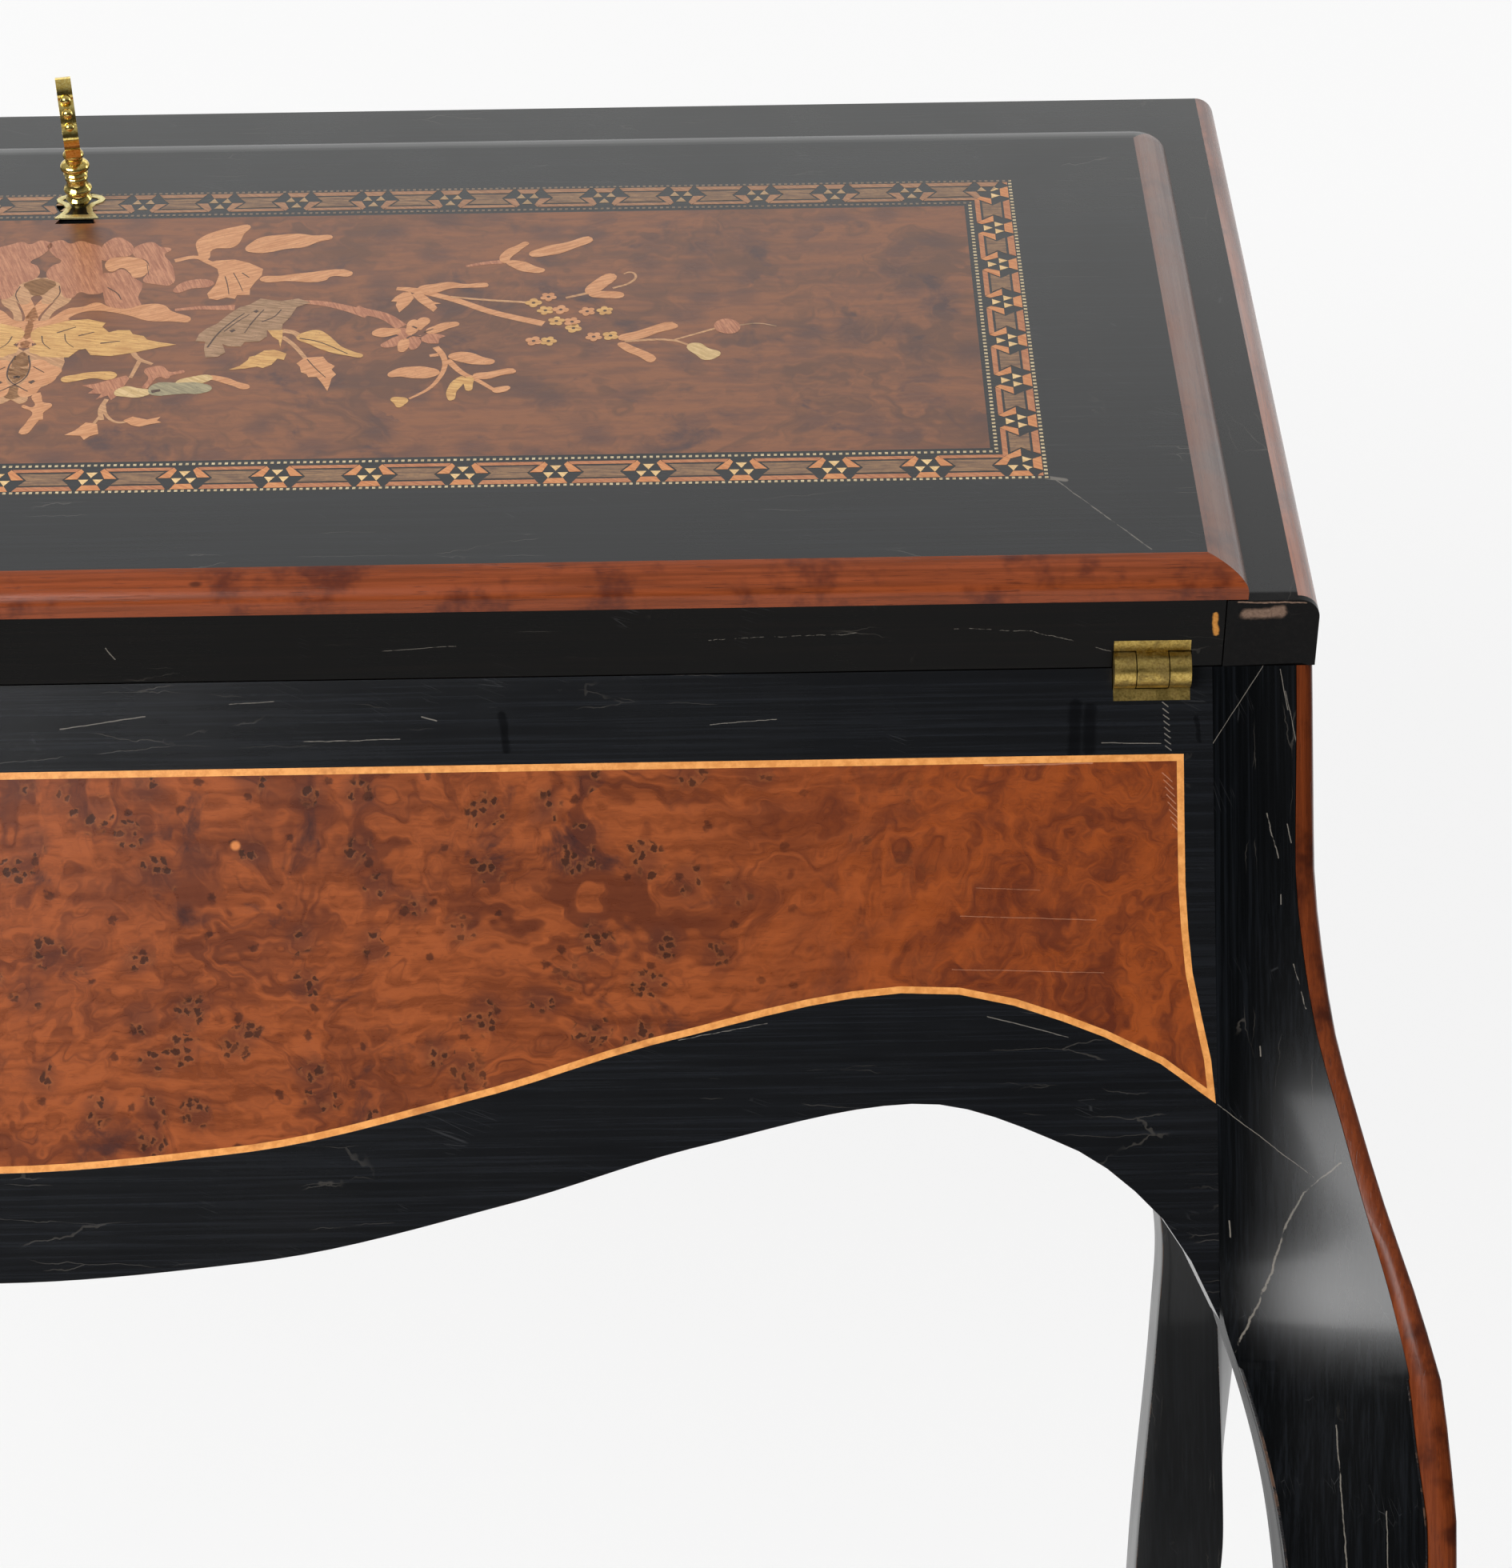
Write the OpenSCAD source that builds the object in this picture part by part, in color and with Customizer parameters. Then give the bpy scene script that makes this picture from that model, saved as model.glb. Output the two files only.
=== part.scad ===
// Slant-front lady's writing desk on cabriole legs, with a fall-front lid and a fitted interior.
// X runs across the desk, Y from front to back and Z up. The origin is on the floor under its middle.

/* [Carcass] */
// Width over the two gables
desk_w = 720; // [660:1:800]
// Depth from the face of the front apron to the back
desk_d = 430; // [410:1:480]
// Height of the writing level, where the lid is hinged
writing_h = 745; // [700:1:790]
// Angle of the slope above the horizontal
slope_angle = 37; // [34:0.5:40]
// Length of the slope, from the hinge line to the top
slope_len = 274; // [266:1:286]
// Width of the slanted rail above the lid
rail_w = 34; // [28:1:40]
// Thickness of the gables
gable_t = 25; // [20:0.5:30]
// Thickness of the top board
top_t = 18; // [14:0.5:22]
// Thickness of the back panel
back_t = 8; // [5:0.5:12]
// Width of the round-over strips on the gables
edge_w = 6; // [4:0.5:8]
// Depth of the shoulder that laps the rail over each gable
shoulder_t = 4; // [2:0.5:6]

/* [Legs] */
// Width of the square stile at the top of each leg
stile_w = 27; // [22:0.5:32]
// Setback of the legs and side aprons from the gable faces
set_in = 0.8; // [0.2:0.1:2]
// Drop from the writing level to where the legs begin to swell
bow_drop = 50; // [30:1:70]
// Drop from the writing level to the crest of the knee
knee_drop = 230; // [218:1:244]
// Reach of the knee beyond the carcass
knee_out = 34.6; // [30:0.1:38]
// Drop from the writing level to the calf
calf_drop = 337; // [315:1:360]
// Reach of the calf beyond the carcass
calf_out = 18.5; // [12:0.5:24]
// Width of the leg at the calf
calf_w = 33; // [28:0.5:38]
// Height of the ankle above the floor
ankle_h = 115; // [90:1:140]
// Setback of the ankle inside the carcass
ankle_in = 15; // [6:0.5:22]
// Width of the leg at the ankle
ankle_w = 23; // [18:0.5:28]
// Reach of the foot beyond the carcass
foot_out = 2; // [0:0.5:10]
// Width of the foot
foot_w = 32; // [28:0.5:40]
// Outward splay of the rear legs below the aprons
rear_splay = 6; // [0:0.5:9]
// Width of the corner strips at the writing level
strip_top = 5.2; // [4:0.1:6]
// Width of the corner strips at the knee
strip_knee = 13.6; // [10:0.1:15]
// Glue line between a corner strip and its leg
glue = 0.2; // [0.1:0.05:0.3]

/* [Aprons] */
// Thickness of the aprons
apron_t = 22; // [16:0.5:25]
// Drop of the front apron at its middle
front_drop = 162.5; // [150:0.5:175]
// Drop of the side aprons at their middle
side_drop = 145; // [135:0.5:160]
// Drop of the rear apron
rear_drop = 118; // [110:0.5:125]
// Drop of the aprons at the top of their arches
arch_drop = 117.5; // [110:0.5:125]
// Distance from the top of an arch to its leg
arch_in = 81; // [74:1:90]
// Drop to where an arch runs out on its leg
arch_foot = 178; // [170:1:190]

/* [Inlay] */
// Thickness of the veneers
veneer_t = 1.2; // [0.8:0.1:2]
// Width of the light stringing
string_w = 1.9; // [1.2:0.1:2.5]
// Distance from the writing level down to the stringing
panel_top = 23.5; // [18:0.5:30]
// Distance from the leg seam to the stringing
panel_side = 8; // [6:0.5:12]
// Width of the black border under the stringing
panel_border = 30; // [25:0.5:35]

/* [Lid] */
// Thickness of the lid board
lid_t = 22; // [20:0.5:25]
// Height of the raised face above the slope
face_h = 8.7; // [6:0.1:10]
// Reach of the raised face over each gable
face_over = 5.5; // [3:0.5:8]
// Reach of the raised face over the rail
rail_over = 4.2; // [2:0.1:6]
// Width of the rounded mouldings round the face
mould_w = 10.4; // [8:0.1:13]
// Height of the flat edge under the rounded mouldings
mould_edge = 2.3; // [1:0.1:4]
// Black margin at the sides of the banding
band_side = 50; // [44:0.5:60]
// Black margin under the banding
band_bottom = 46; // [40:0.5:52]
// Black margin over the banding
band_top = 35; // [30:0.5:40]
// Width of the patterned banding
band_w = 15.6; // [12:0.1:18]
// Margin of the leather from the sides of the lid board
leather_side = 42; // [36:1:60]
// Margin of the leather from the bottom of the lid board
leather_low = 32; // [28:1:40]
// Margin of the leather below the lock
leather_top = 10.7; // [6:0.1:30]

/* [Hinges] */
// Distance from the side of the desk to the middle of each hinge
hinge_in = 44.3; // [40:0.1:60]
// Width of each hinge
hinge_w = 20.8; // [18:0.2:26]
// Diameter of the hinge barrels
barrel_d = 10.4; // [8:0.1:12]
// Diameter of the hinge pins
pin_d = 3; // [2:0.1:4]
// Thickness of the hinge leaves
leaf_t = 2; // [1.2:0.1:2.5]
// Length of the hinge leaves
leaf_len = 19; // [14:0.5:21]
// Height of the hinge lips that show beside the barrel
hinge_lip = 8.9; // [7:0.1:10]
// Share of the hinge width that the middle knuckle takes
knuckle_share = 0.44; // [0.3:0.02:0.5]
// Distance of the hinge axis in front of the apron
axis_out = 0.5; // [0.4:0.1:1]
// Distance of the hinge axis below the writing level
axis_down = 0.3; // [0.2:0.1:0.5]

/* [Lock] */
// Distance of the lock to the right of the middle
lock_off = 4; // [-10:0.5:10]
// Distance from the top of the lid board down to the keyhole
key_down = 37; // [34:0.5:40]
// Width of the lock case
lock_w = 56; // [48:1:64]
// Height of the lock case
lock_h = 49; // [46:1:52]
// Depth of the lock case
lock_t = 11; // [10:0.5:13]
// Wall of the lock case
lock_wall = 1.6; // [1:0.1:2]
// Width of the bolt
bolt_w = 18; // [12:1:24]
// Thickness of the bolt
bolt_t = 4.4; // [3:0.2:5]
// Throw of the bolt
bolt_throw = 5; // [4:0.5:6]
// Diameter of the key shank
shank_d = 4.8; // [4:0.1:5.4]
// Reach of the key bit from the middle of the shank
bit_r = 7; // [6:0.2:8]
// Thickness of the key bit
bit_t = 2; // [1.5:0.1:2.2]
// Height of the key above the face of the lid
key_h = 43; // [38:0.5:48]
// Width of the key bow
bow_w = 24; // [20:0.5:30]
// Thickness of the key bow
bow_t = 4.6; // [3:0.1:5]
// Diameter of the round part of the escutcheon
plate_d = 14.4; // [13:0.1:16]
// Height of the escutcheon
plate_h = 19; // [18:0.1:22]

/* [Interior] */
// Thickness of the writing board
deck_t = 12; // [10:0.5:14]
// Width of the ledges that carry the writing board
ledge_w = 15.5; // [12:0.5:20]
// Height of the ledges under the writing board
ledge_h = 18; // [14:1:24]
// Width of the rails beside the writing board
side_rail_w = 22; // [18:0.5:26]
// Depth of the fixed writing board
deck_d = 75; // [60:1:80]
// Drop from the writing level to the top of the carcass floor
floor_drop = 100; // [92:1:102]
// Thickness of the carcass floor
floor_t = 8; // [6:0.5:9]
// Depth of the grooves that hold the carcass floor
groove = 5; // [3:0.5:8]
// Setback of the nest of drawers behind the middle of the desk
nest_y = 20; // [12:1:26]
// Thickness of the nest boards
nest_t = 7.5; // [6:0.5:9]
// Clear height of the drawer bays
bay_h = 44; // [38:0.5:48]
// Number of drawers
drawers = 3; // [3:1:3]
// Wall of the drawer boxes
drawer_wall = 5; // [4:0.5:7]
// Thickness of the drawer fronts
front_t = 8; // [6:0.5:10]
// Space left behind the drawers
drawer_back = 19; // [10:1:34]
// Diameter of the drawer knobs
knob_d = 13; // [10:0.5:16]
// Reach of the drawer knobs
knob_len = 14; // [10:0.5:18]
// Diameter of the finger dish in the sliding panel
dish_d = 24; // [18:0.5:30]
// Clearance round each piece that moves
gap = 0.3; // [0.25:0.05:0.4]

/* [Hidden] */
$fn = 48;

half_w = desk_w / 2;
half_d = desk_d / 2;
gable_x = half_w - gable_t;
side_x = half_w - set_in;
seam_x = side_x - stile_w;
seam_y = half_d - stile_w;
apron_x = side_x - apron_t;
apron_y = half_d - apron_t;

// Points of the slope: s runs up it from the hinge line and n stands square to it
function slope_y(s, n) = -half_d + s * cos(slope_angle) - n * sin(slope_angle);
function slope_z(s, n) = writing_h + s * sin(slope_angle) + n * cos(slope_angle);
top_y = slope_y(slope_len, lid_t);
top_z = slope_z(slope_len, lid_t);
rail_land = 14;
lid_len = slope_len - rail_w;
lid_x = gable_x - gap;

// Smooth curve through knots [u, v], level wherever the knots turn back
function chord(k, i) = (k[i + 1][1] - k[i][1]) / (k[i + 1][0] - k[i][0]);
function lean(k, i) =
    i == 0 || i == len(k) - 1 || chord(k, i - 1) * chord(k, i) <= 0
    ? 0
    : 2 * chord(k, i - 1) * chord(k, i) / (chord(k, i - 1) + chord(k, i));
function span(k, u, i = 0) = i >= len(k) - 2 || u <= k[i + 1][0] ? i : span(k, u, i + 1);
function curve(k, u) =
    let (
        i = span(k, u),
        h = k[i + 1][0] - k[i][0],
        t = min(max((u - k[i][0]) / h, 0), 1)
    )
    k[i][1] * (1 + 2 * t) * pow(1 - t, 2) + h * lean(k, i) * t * pow(1 - t, 2)
    + k[i + 1][1] * t * t * (3 - 2 * t) + h * lean(k, i + 1) * t * t * (t - 1);

// Outline moved inwards by d, for points that run anticlockwise
function unit(v) = v / norm(v);
function left_of(p, q) = unit([p[1] - q[1], q[0] - p[0]]);
function inset(p, d) = [
    for (i = [0 : len(p) - 1])
        let (
            a = left_of(p[(i + len(p) - 1) % len(p)], p[i]),
            b = left_of(p[i], p[(i + 1) % len(p)])
        )
        p[i] + d * (a + b) / (1 + a * b)
];

// Solid lofted through rings of points that all run anticlockwise, from the top ring down
module loft(rings) {
    n = len(rings[0]);
    last = len(rings) - 1;
    polyhedron(
        points = [for (ring = rings) each ring],
        faces = concat(
            [[for (j = [n - 1 : -1 : 0]) j]],
            [for (i = [0 : last - 1], j = [0 : n - 1]) [i * n + j, i * n + (j + 1) % n, (i + 1) * n + j]],
            [for (i = [0 : last - 1], j = [0 : n - 1])
                [i * n + (j + 1) % n, (i + 1) * n + (j + 1) % n, (i + 1) * n + j]],
            [[for (j = [0 : n - 1]) last * n + j]]
        )
    );
}

// Frames of the flat pieces
module slope() { translate([0, -half_d, writing_h]) rotate([slope_angle, 0, 0]) children(); }
module both() { children(); mirror([1, 0, 0]) children(); }
module block(x, y, z) { translate([x[0], y[0], z[0]]) cube([x[1] - x[0], y[1] - y[0], z[1] - z[0]]); }
// A flat outline drawn in X and Z, from y0 back by t
module facing(y0, t) { translate([0, y0 + t, 0]) rotate([90, 0, 0]) linear_extrude(t) children(); }
// A flat outline drawn in Y and Z, from x0 outwards by t
module sideways(x0, t) { translate([x0, 0, 0]) rotate([90, 0, 90]) linear_extrude(t) children(); }

// Legs. Each curve gives a reach from the carcass against the drop from the writing level.
ankle_drop = writing_h - ankle_h;
swell = knee_drop - bow_drop;
corner_reach = [
    [0, set_in], [bow_drop, set_in], [bow_drop + swell * 0.222, knee_out * 0.126],
    [bow_drop + swell * 0.461, knee_out * 0.422], [bow_drop + swell * 0.7, knee_out * 0.809],
    [bow_drop + swell * 0.817, knee_out * 0.956],
    [knee_drop, knee_out], [calf_drop, calf_out], [ankle_drop, -ankle_in], [writing_h, foot_out]
];
// The faces leave the aprons flush and catch up with the corner below the knee
flush_drop = arch_foot - 22;
face_reach = [
    [0, 0], [flush_drop, 0], [knee_drop - 50, knee_out * 0.135],
    [knee_drop + 20, knee_out * 0.5], [calf_drop, calf_out],
    [ankle_drop, -ankle_in], [writing_h, foot_out]
];
shin_reach = [
    [calf_drop, calf_out - calf_w], [ankle_drop, -ankle_in - ankle_w], [writing_h, foot_out - foot_w]
];
front_inner = concat([
    [arch_foot - 13, -stile_w - 7], [arch_foot, -stile_w], [arch_foot + 19, -stile_w + 6.5],
    [knee_drop, -stile_w + 13.4], [knee_drop + 30, -stile_w + 15.7]
], shin_reach);
rear_inner = concat([
    [rear_drop, -stile_w], [rear_drop + 28, -stile_w + 5], [arch_foot - 4, -stile_w + 17.5],
    [knee_drop - 22, -stile_w + 24.5], [knee_drop + 24, -stile_w + 21.5]
], shin_reach);
strip_reach = [
    [0, strip_top], [60, strip_top * 1.2], [arch_drop, strip_top * 1.35], [knee_drop - 64, strip_knee * 0.78],
    [knee_drop - 25, strip_knee], [knee_drop + 2, strip_knee * 0.82], [writing_h, strip_top * 1.15]
];
splay_reach = [[0, 0], [arch_foot, 0], [knee_drop, rear_splay], [writing_h, rear_splay]];
function splay_at(drop) = curve(splay_reach, drop);
function corner_at(drop) = curve(corner_reach, drop);
function face_at(drop) = min(corner_at(drop), curve(face_reach, drop));
function inner_at(k, drop) = max(-stile_w, curve(k, drop));
// Drops of the rings, which are closer where the leg leaves the aprons
rings_above = 16;
rings_below = 46;
drops = concat(
    [for (i = [0 : rings_above - 1]) i * arch_foot / rings_above],
    [for (i = [0 : rings_below]) arch_foot + i * (writing_h - arch_foot) / rings_below]
);
// Corners of a leg at one drop: inner, side, outer and front, in reach across and reach forward
function leg_corners(drop, k) = [
    [side_x + inner_at(k, drop), half_d + inner_at(front_inner, drop)],
    [side_x + face_at(drop), half_d + inner_at(front_inner, drop)],
    [side_x + corner_at(drop), half_d + corner_at(drop)],
    [side_x + inner_at(k, drop), half_d + face_at(drop)]
];
function toward(p, q, d) = p + d * unit(q - p);
// Rebate for the strip on the outer corner: its two arrises and its inner angle
function rebate(c, w) = [
    toward(c[2], c[1], w),
    toward(c[2], c[1], w) + toward(c[2], c[3], w) - c[2],
    toward(c[2], c[3], w)
];
function lifted(ring, drop) = [for (p = ring) [p[0], p[1], writing_h - drop]];
function front_ring(drop) =
    let (c = leg_corners(drop, front_inner))
    lifted(concat([c[0], c[1]], rebate(c, curve(strip_reach, drop)), [c[3]]), drop);
// Rounded corner from p to q, drawn towards the sharp corner c
round_steps = 5;
function rounded(p, c, q) = [
    for (i = [0 : round_steps])
        let (t = i / round_steps)
        p * pow(1 - t, 2) + c * 2 * t * (1 - t) + q * t * t
];
function rear_ring(drop) =
    let (
        s = [splay_at(drop), 0],
        c = [for (p = leg_corners(drop, rear_inner)) p + s],
        r = rebate(c, curve(strip_reach, drop))
    )
    lifted(concat([c[0], c[1]], rounded(r[0], c[2], r[2]), [c[3]]), drop);
function strip_ring(drop) =
    let (c = leg_corners(drop, front_inner), r = rebate(c, curve(strip_reach, drop) - glue))
    lifted(concat([r[1]], rounded(r[0], c[2], r[2])), drop);

module leg_front_right() {
    color("#1d1f22") mirror([0, 1, 0]) loft([for (d = drops) front_ring(d)]);
}
module leg_rear_right() {
    color("#1d1f22") loft([for (d = drops) rear_ring(d)]);
}
strip_lift = 2;
module corner_strips() {
    stations = [for (d = drops) if (d < writing_h - strip_lift) d];
    color("#8b4519") both() mirror([0, 1, 0]) loft([for (d = stations) strip_ring(d)]);
}

// Aprons. The lower edge drops at the middle, rises to an arch and runs out on the leg.
function edge_knots(half, drop) =
    let (crest = half - arch_in, rise = drop - arch_drop)
    [
        [0, -drop], [crest * 0.28, -drop + rise * 0.107], [crest * 0.56, -drop + rise * 0.44],
        [crest * 0.757, -drop + rise * 0.756], [crest, -arch_drop],
        [half - arch_in * 0.5, -arch_drop - (arch_foot - arch_drop) * 0.205],
        [half - arch_in * 0.17, -arch_drop - (arch_foot - arch_drop) * 0.565],
        [half, -arch_foot], [half + 6, -arch_foot - 14]
    ];
edge_steps = 44;
function edge_point(k, x) = [x, curve(k, x)];
function edge_half(k, half) = [
    for (i = [0 : edge_steps]) edge_point(k, half * i / edge_steps)
];
function mirrored(p) = [for (i = [len(p) - 1 : -1 : 1]) [-p[i][0], p[i][1]]];
function apron_outline(half, drop) =
    let (low = edge_half(edge_knots(half, drop), half))
    concat(mirrored(low), low, [[half, 0], [-half, 0]]);
// The lower stringing follows the edge at the width of the border, up to the side stringing
tip_in = 22.7;
function border_point(k, x, half) =
    let (p = edge_point(k, x), q = edge_point(k, x + 0.5))
    p + (panel_border + 2.5 * pow(x / (half - tip_in), 10)) * unit([p[1] - q[1], q[0] - p[0]]);
panel_steps = 30;
// Drops below the head of the panel where its side starts to bend and has bent
bend_start = 32;
bend_end = 55;
function panel_half(half, drop) =
    let (
        k = edge_knots(half, drop),
        low = [for (i = [0 : panel_steps]) border_point(k, (half - tip_in) * i / panel_steps, half)],
        corner = low[panel_steps],
        side = [
            [-corner[1], corner[0]], [panel_top + bend_end, half - panel_side + 1.2],
            [panel_top + bend_start, half - panel_side], [panel_top, half - panel_side]
        ],
        flip = [for (i = [3 : -1 : 0]) side[i]],
        steps = 8
    )
    concat(low, [
        for (i = [1 : steps])
            let (z = -corner[1] + (panel_top + corner[1]) * i / steps)
            [curve(flip, z), -z]
    ]);
function panel_outline(half, drop) = concat(mirrored(panel_half(half, drop)), panel_half(half, drop));

module apron_face(half, drop) { translate([0, writing_h]) polygon(apron_outline(half, drop)); }
module panel_face(half, drop, d) { translate([0, writing_h]) polygon(inset(panel_outline(half, drop), d)); }
module stringing_face(half, drop) {
    difference() {
        panel_face(half, drop, 0);
        panel_face(half, drop, string_w);
    }
}
// The carcass floor, which the grooves in the aprons follow
module carcass_floor_body() {
    difference() {
        block([-apron_x - groove, apron_x + groove], [-apron_y - groove, apron_y + groove],
            [writing_h - floor_drop - floor_t, writing_h - floor_drop]);
        for (x = [-1, 1], y = [-1, 1])
            translate([x * (seam_x + stile_w / 2), y * (seam_y + stile_w / 2), writing_h - floor_drop])
                cube([stile_w, stile_w, 4 * floor_t], center = true);
    }
}

module front_apron() {
    color("#1d1f22") difference() {
        facing(-half_d, apron_t) apron_face(seam_x, front_drop);
        facing(-half_d, veneer_t) panel_face(seam_x, front_drop, 0);
        carcass_floor_body();
        both() hinge_fixed_bed();
    }
}
module front_panel() {
    color("#8a4a28") facing(-half_d, veneer_t) panel_face(seam_x, front_drop, string_w);
}
module front_stringing() {
    color("#e89a50") facing(-half_d, veneer_t) stringing_face(seam_x, front_drop);
}
module side_apron_right() {
    color("#1d1f22") difference() {
        sideways(apron_x, apron_t) apron_face(seam_y, side_drop);
        sideways(side_x - veneer_t, veneer_t) panel_face(seam_y, side_drop, 0);
        carcass_floor_body();
    }
}
module side_panels() {
    color("#8a4a28") both() sideways(side_x - veneer_t, veneer_t) panel_face(seam_y, side_drop, string_w);
}
module side_stringing() {
    color("#e89a50") both() sideways(side_x - veneer_t, veneer_t) stringing_face(seam_y, side_drop);
}
module rear_apron() {
    color("#26221f") difference() {
        block([-seam_x, seam_x], [apron_y, half_d], [writing_h - rear_drop, writing_h]);
        carcass_floor_body();
    }
}
module carcass_floor() { color("#6b4a2e") carcass_floor_body(); }

// Gables, their round-over strips, the slanted rail, the top and the back
nose_w = 2;
mitre = desk_d + desk_w;
// Quarter round of the strips, or the square rebate that is cut for them and runs out of the gable
module strip_section(turned) {
    if (turned) intersection() {
        square(edge_w);
        circle(edge_w, $fn = 64);
    }
    else square(edge_w + overlap);
}
// Bar on the outer edge of the right gable, up the slope and back along the top
module edge_bar(turned) {
    intersection() {
        slope() translate([half_w - edge_w, nose_w + mitre / 2, lid_t - edge_w]) rotate([90, 0, 0])
            linear_extrude(mitre / 2) strip_section(turned);
        translate([0, top_y, top_z]) rotate([slope_angle / 2, 0, 0]) translate([0, -mitre, -mitre / 2])
            cube([mitre, mitre, mitre]);
    }
    intersection() {
        translate([half_w - edge_w, half_d, top_z - edge_w]) rotate([90, 0, 0])
            linear_extrude(mitre / 2) strip_section(turned);
        translate([0, top_y, top_z]) rotate([slope_angle / 2, 0, 0]) translate([0, 0, -mitre / 2])
            cube([mitre, mitre, mitre]);
    }
}
module gable_right() {
    color("#1d1f22") difference() {
        sideways(gable_x, gable_t) polygon([
            [-half_d, writing_h], [slope_y(0, lid_t), slope_z(0, lid_t)], [top_y, top_z],
            [half_d, top_z], [half_d, writing_h]
        ]);
        edge_bar(false);
        slope() translate([half_w - edge_w, -overlap, lid_t - edge_w]) difference() {
            cube([edge_w + overlap, nose_w + overlap, edge_w + overlap]);
            translate([0, nose_w + 2 * overlap, 0]) rotate([90, 0, 0])
                cylinder(h = nose_w + 3 * overlap, r = edge_w, $fn = 64);
        }
        rail_shoulder();
    }
}
module gable_strips() { color("#8b4519") both() edge_bar(true); }
// The shoulder of the rail that laps over the right gable, run a little into the rail itself
overlap = 1;
shoulder_s = lid_len + 6.5;
module rail_shoulder() {
    intersection() {
        slope() block([gable_x - overlap, half_w - edge_w], [shoulder_s, slope_len + rail_w],
            [lid_t - shoulder_t, lid_t]);
        block([0, desk_w], [-desk_d, top_y + rail_land], [0, top_z]);
        translate([0, top_y, top_z]) rotate([slope_angle / 2, 0, 0]) translate([0, -mitre, -mitre / 2])
            cube([mitre, mitre, mitre]);
    }
}
module top_rail() {
    color("#1d1f22") difference() {
        union() {
            sideways(-gable_x, 2 * gable_x) polygon([
                [slope_y(lid_len + gap, lid_t), slope_z(lid_len + gap, lid_t)], [top_y, top_z],
                [top_y + rail_land, top_z], [top_y + rail_land, top_z - top_t],
                [slope_y(lid_len + gap, 0), slope_z(lid_len + gap, 0)]
            ]);
            both() rail_shoulder();
        }
        strike_plate_body(overlap);
        slope() block([lock_off - bolt_w / 2 - gap, lock_off + bolt_w / 2 + gap],
            [lid_len, lid_len + bolt_throw + 4], [bolt_n - gap, bolt_n + bolt_t + gap]);
    }
}
module top_board() {
    color("#1d1f22") block([-gable_x, gable_x], [top_y + rail_land, half_d], [top_z - top_t, top_z]);
}
module back_panel() {
    color("#26221f") block([-gable_x, gable_x], [half_d - back_t, half_d], [writing_h, top_z - top_t]);
}

// Interior: bearers, writing board, sliding panel over the well, and the nest of drawers
rail_x = apron_x - side_rail_w;
module bearer_right() {
    low = writing_h - deck_t - ledge_h;
    color("#6b4a2e") facing(-seam_y, 2 * seam_y) polygon([
        [rail_x - ledge_w, low], [apron_x, low], [apron_x, writing_h], [rail_x, writing_h],
        [rail_x, writing_h - deck_t], [rail_x - ledge_w, writing_h - deck_t]
    ]);
}
deck_back = -apron_y + deck_d;
module writing_board() {
    color("#5a3420") block([-rail_x, rail_x], [-apron_y, deck_back], [writing_h - deck_t, writing_h]);
}
dish_y = 22;
module well_panel() {
    ball = dish_d * 0.8;
    color("#5a3420") difference() {
        block([-rail_x + gap, rail_x - gap], [deck_back + gap, nest_y - gap],
            [writing_h - deck_t + gap, writing_h - gap]);
        translate([0, deck_back + dish_y, writing_h - gap + sqrt(ball * ball - dish_d * dish_d / 4)])
            sphere(ball);
    }
}
nest_x = gable_x - nest_t;
nest_back = half_d - back_t;
bay_z = writing_h + nest_t;
shelf_z = bay_z + bay_h;
nest_top = top_z - top_t;
bay_w = (2 * nest_x - (drawers - 1) * nest_t) / drawers;
divider_x = bay_w / 2 + nest_t / 2;
module nest_floor() {
    color("#7a4a28") block([-nest_x, nest_x], [nest_y, nest_back], [writing_h, bay_z]);
}
module nest_shelf() {
    color("#7a4a28") block([-nest_x, nest_x], [nest_y, nest_back], [shelf_z, shelf_z + nest_t]);
}
module nest_end_right() {
    color("#7a4a28") block([nest_x, gable_x], [nest_y, nest_back], [writing_h, nest_top]);
}
module drawer_divider_right() {
    color("#7a4a28") block([divider_x - nest_t / 2, divider_x + nest_t / 2],
        [nest_y, nest_back], [bay_z, shelf_z]);
}
// The upper dividers are cut back in a hollow curve at the front
scoop = 62;
module letter_divider_right() {
    low = shelf_z + nest_t;
    color("#7a4a28") difference() {
        block([divider_x - nest_t / 2, divider_x + nest_t / 2], [nest_y, nest_back], [low, nest_top]);
        translate([divider_x, nest_y - scoop * 0.35, low + (nest_top - low) * 0.6]) rotate([0, 90, 0])
            cylinder(h = nest_t + 2, r = scoop, center = true, $fn = 96);
    }
}

// Drawers, counted from the left
function bay_x(i) = (i - (drawers + 1) / 2) * (bay_w + nest_t);
drawer_x = bay_w / 2 - gap;
drawer_low = bay_z + gap;
drawer_high = shelf_z - gap;
box_drop = 4;
panel_t = 3;
module drawer_box(i) {
    back = nest_back - drawer_back;
    color("#a8794a") translate([bay_x(i), 0, 0]) difference() {
        block([-drawer_x, drawer_x], [nest_y + front_t, back], [drawer_low, drawer_high - box_drop]);
        block([-drawer_x + drawer_wall, drawer_x - drawer_wall],
            [nest_y + front_t + drawer_wall, back - drawer_wall],
            [drawer_low + panel_t, drawer_high]);
    }
}
module drawer_front(i) {
    color("#8a4a28") translate([bay_x(i), 0, 0]) difference() {
        block([-drawer_x, drawer_x], [nest_y, nest_y + front_t], [drawer_low, drawer_high]);
        translate([0, nest_y + front_t / 2, (drawer_low + drawer_high) / 2]) rotate([90, 0, 0])
            cylinder(h = front_t + 2, d = knob_d * 0.4, center = true);
    }
}
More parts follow.
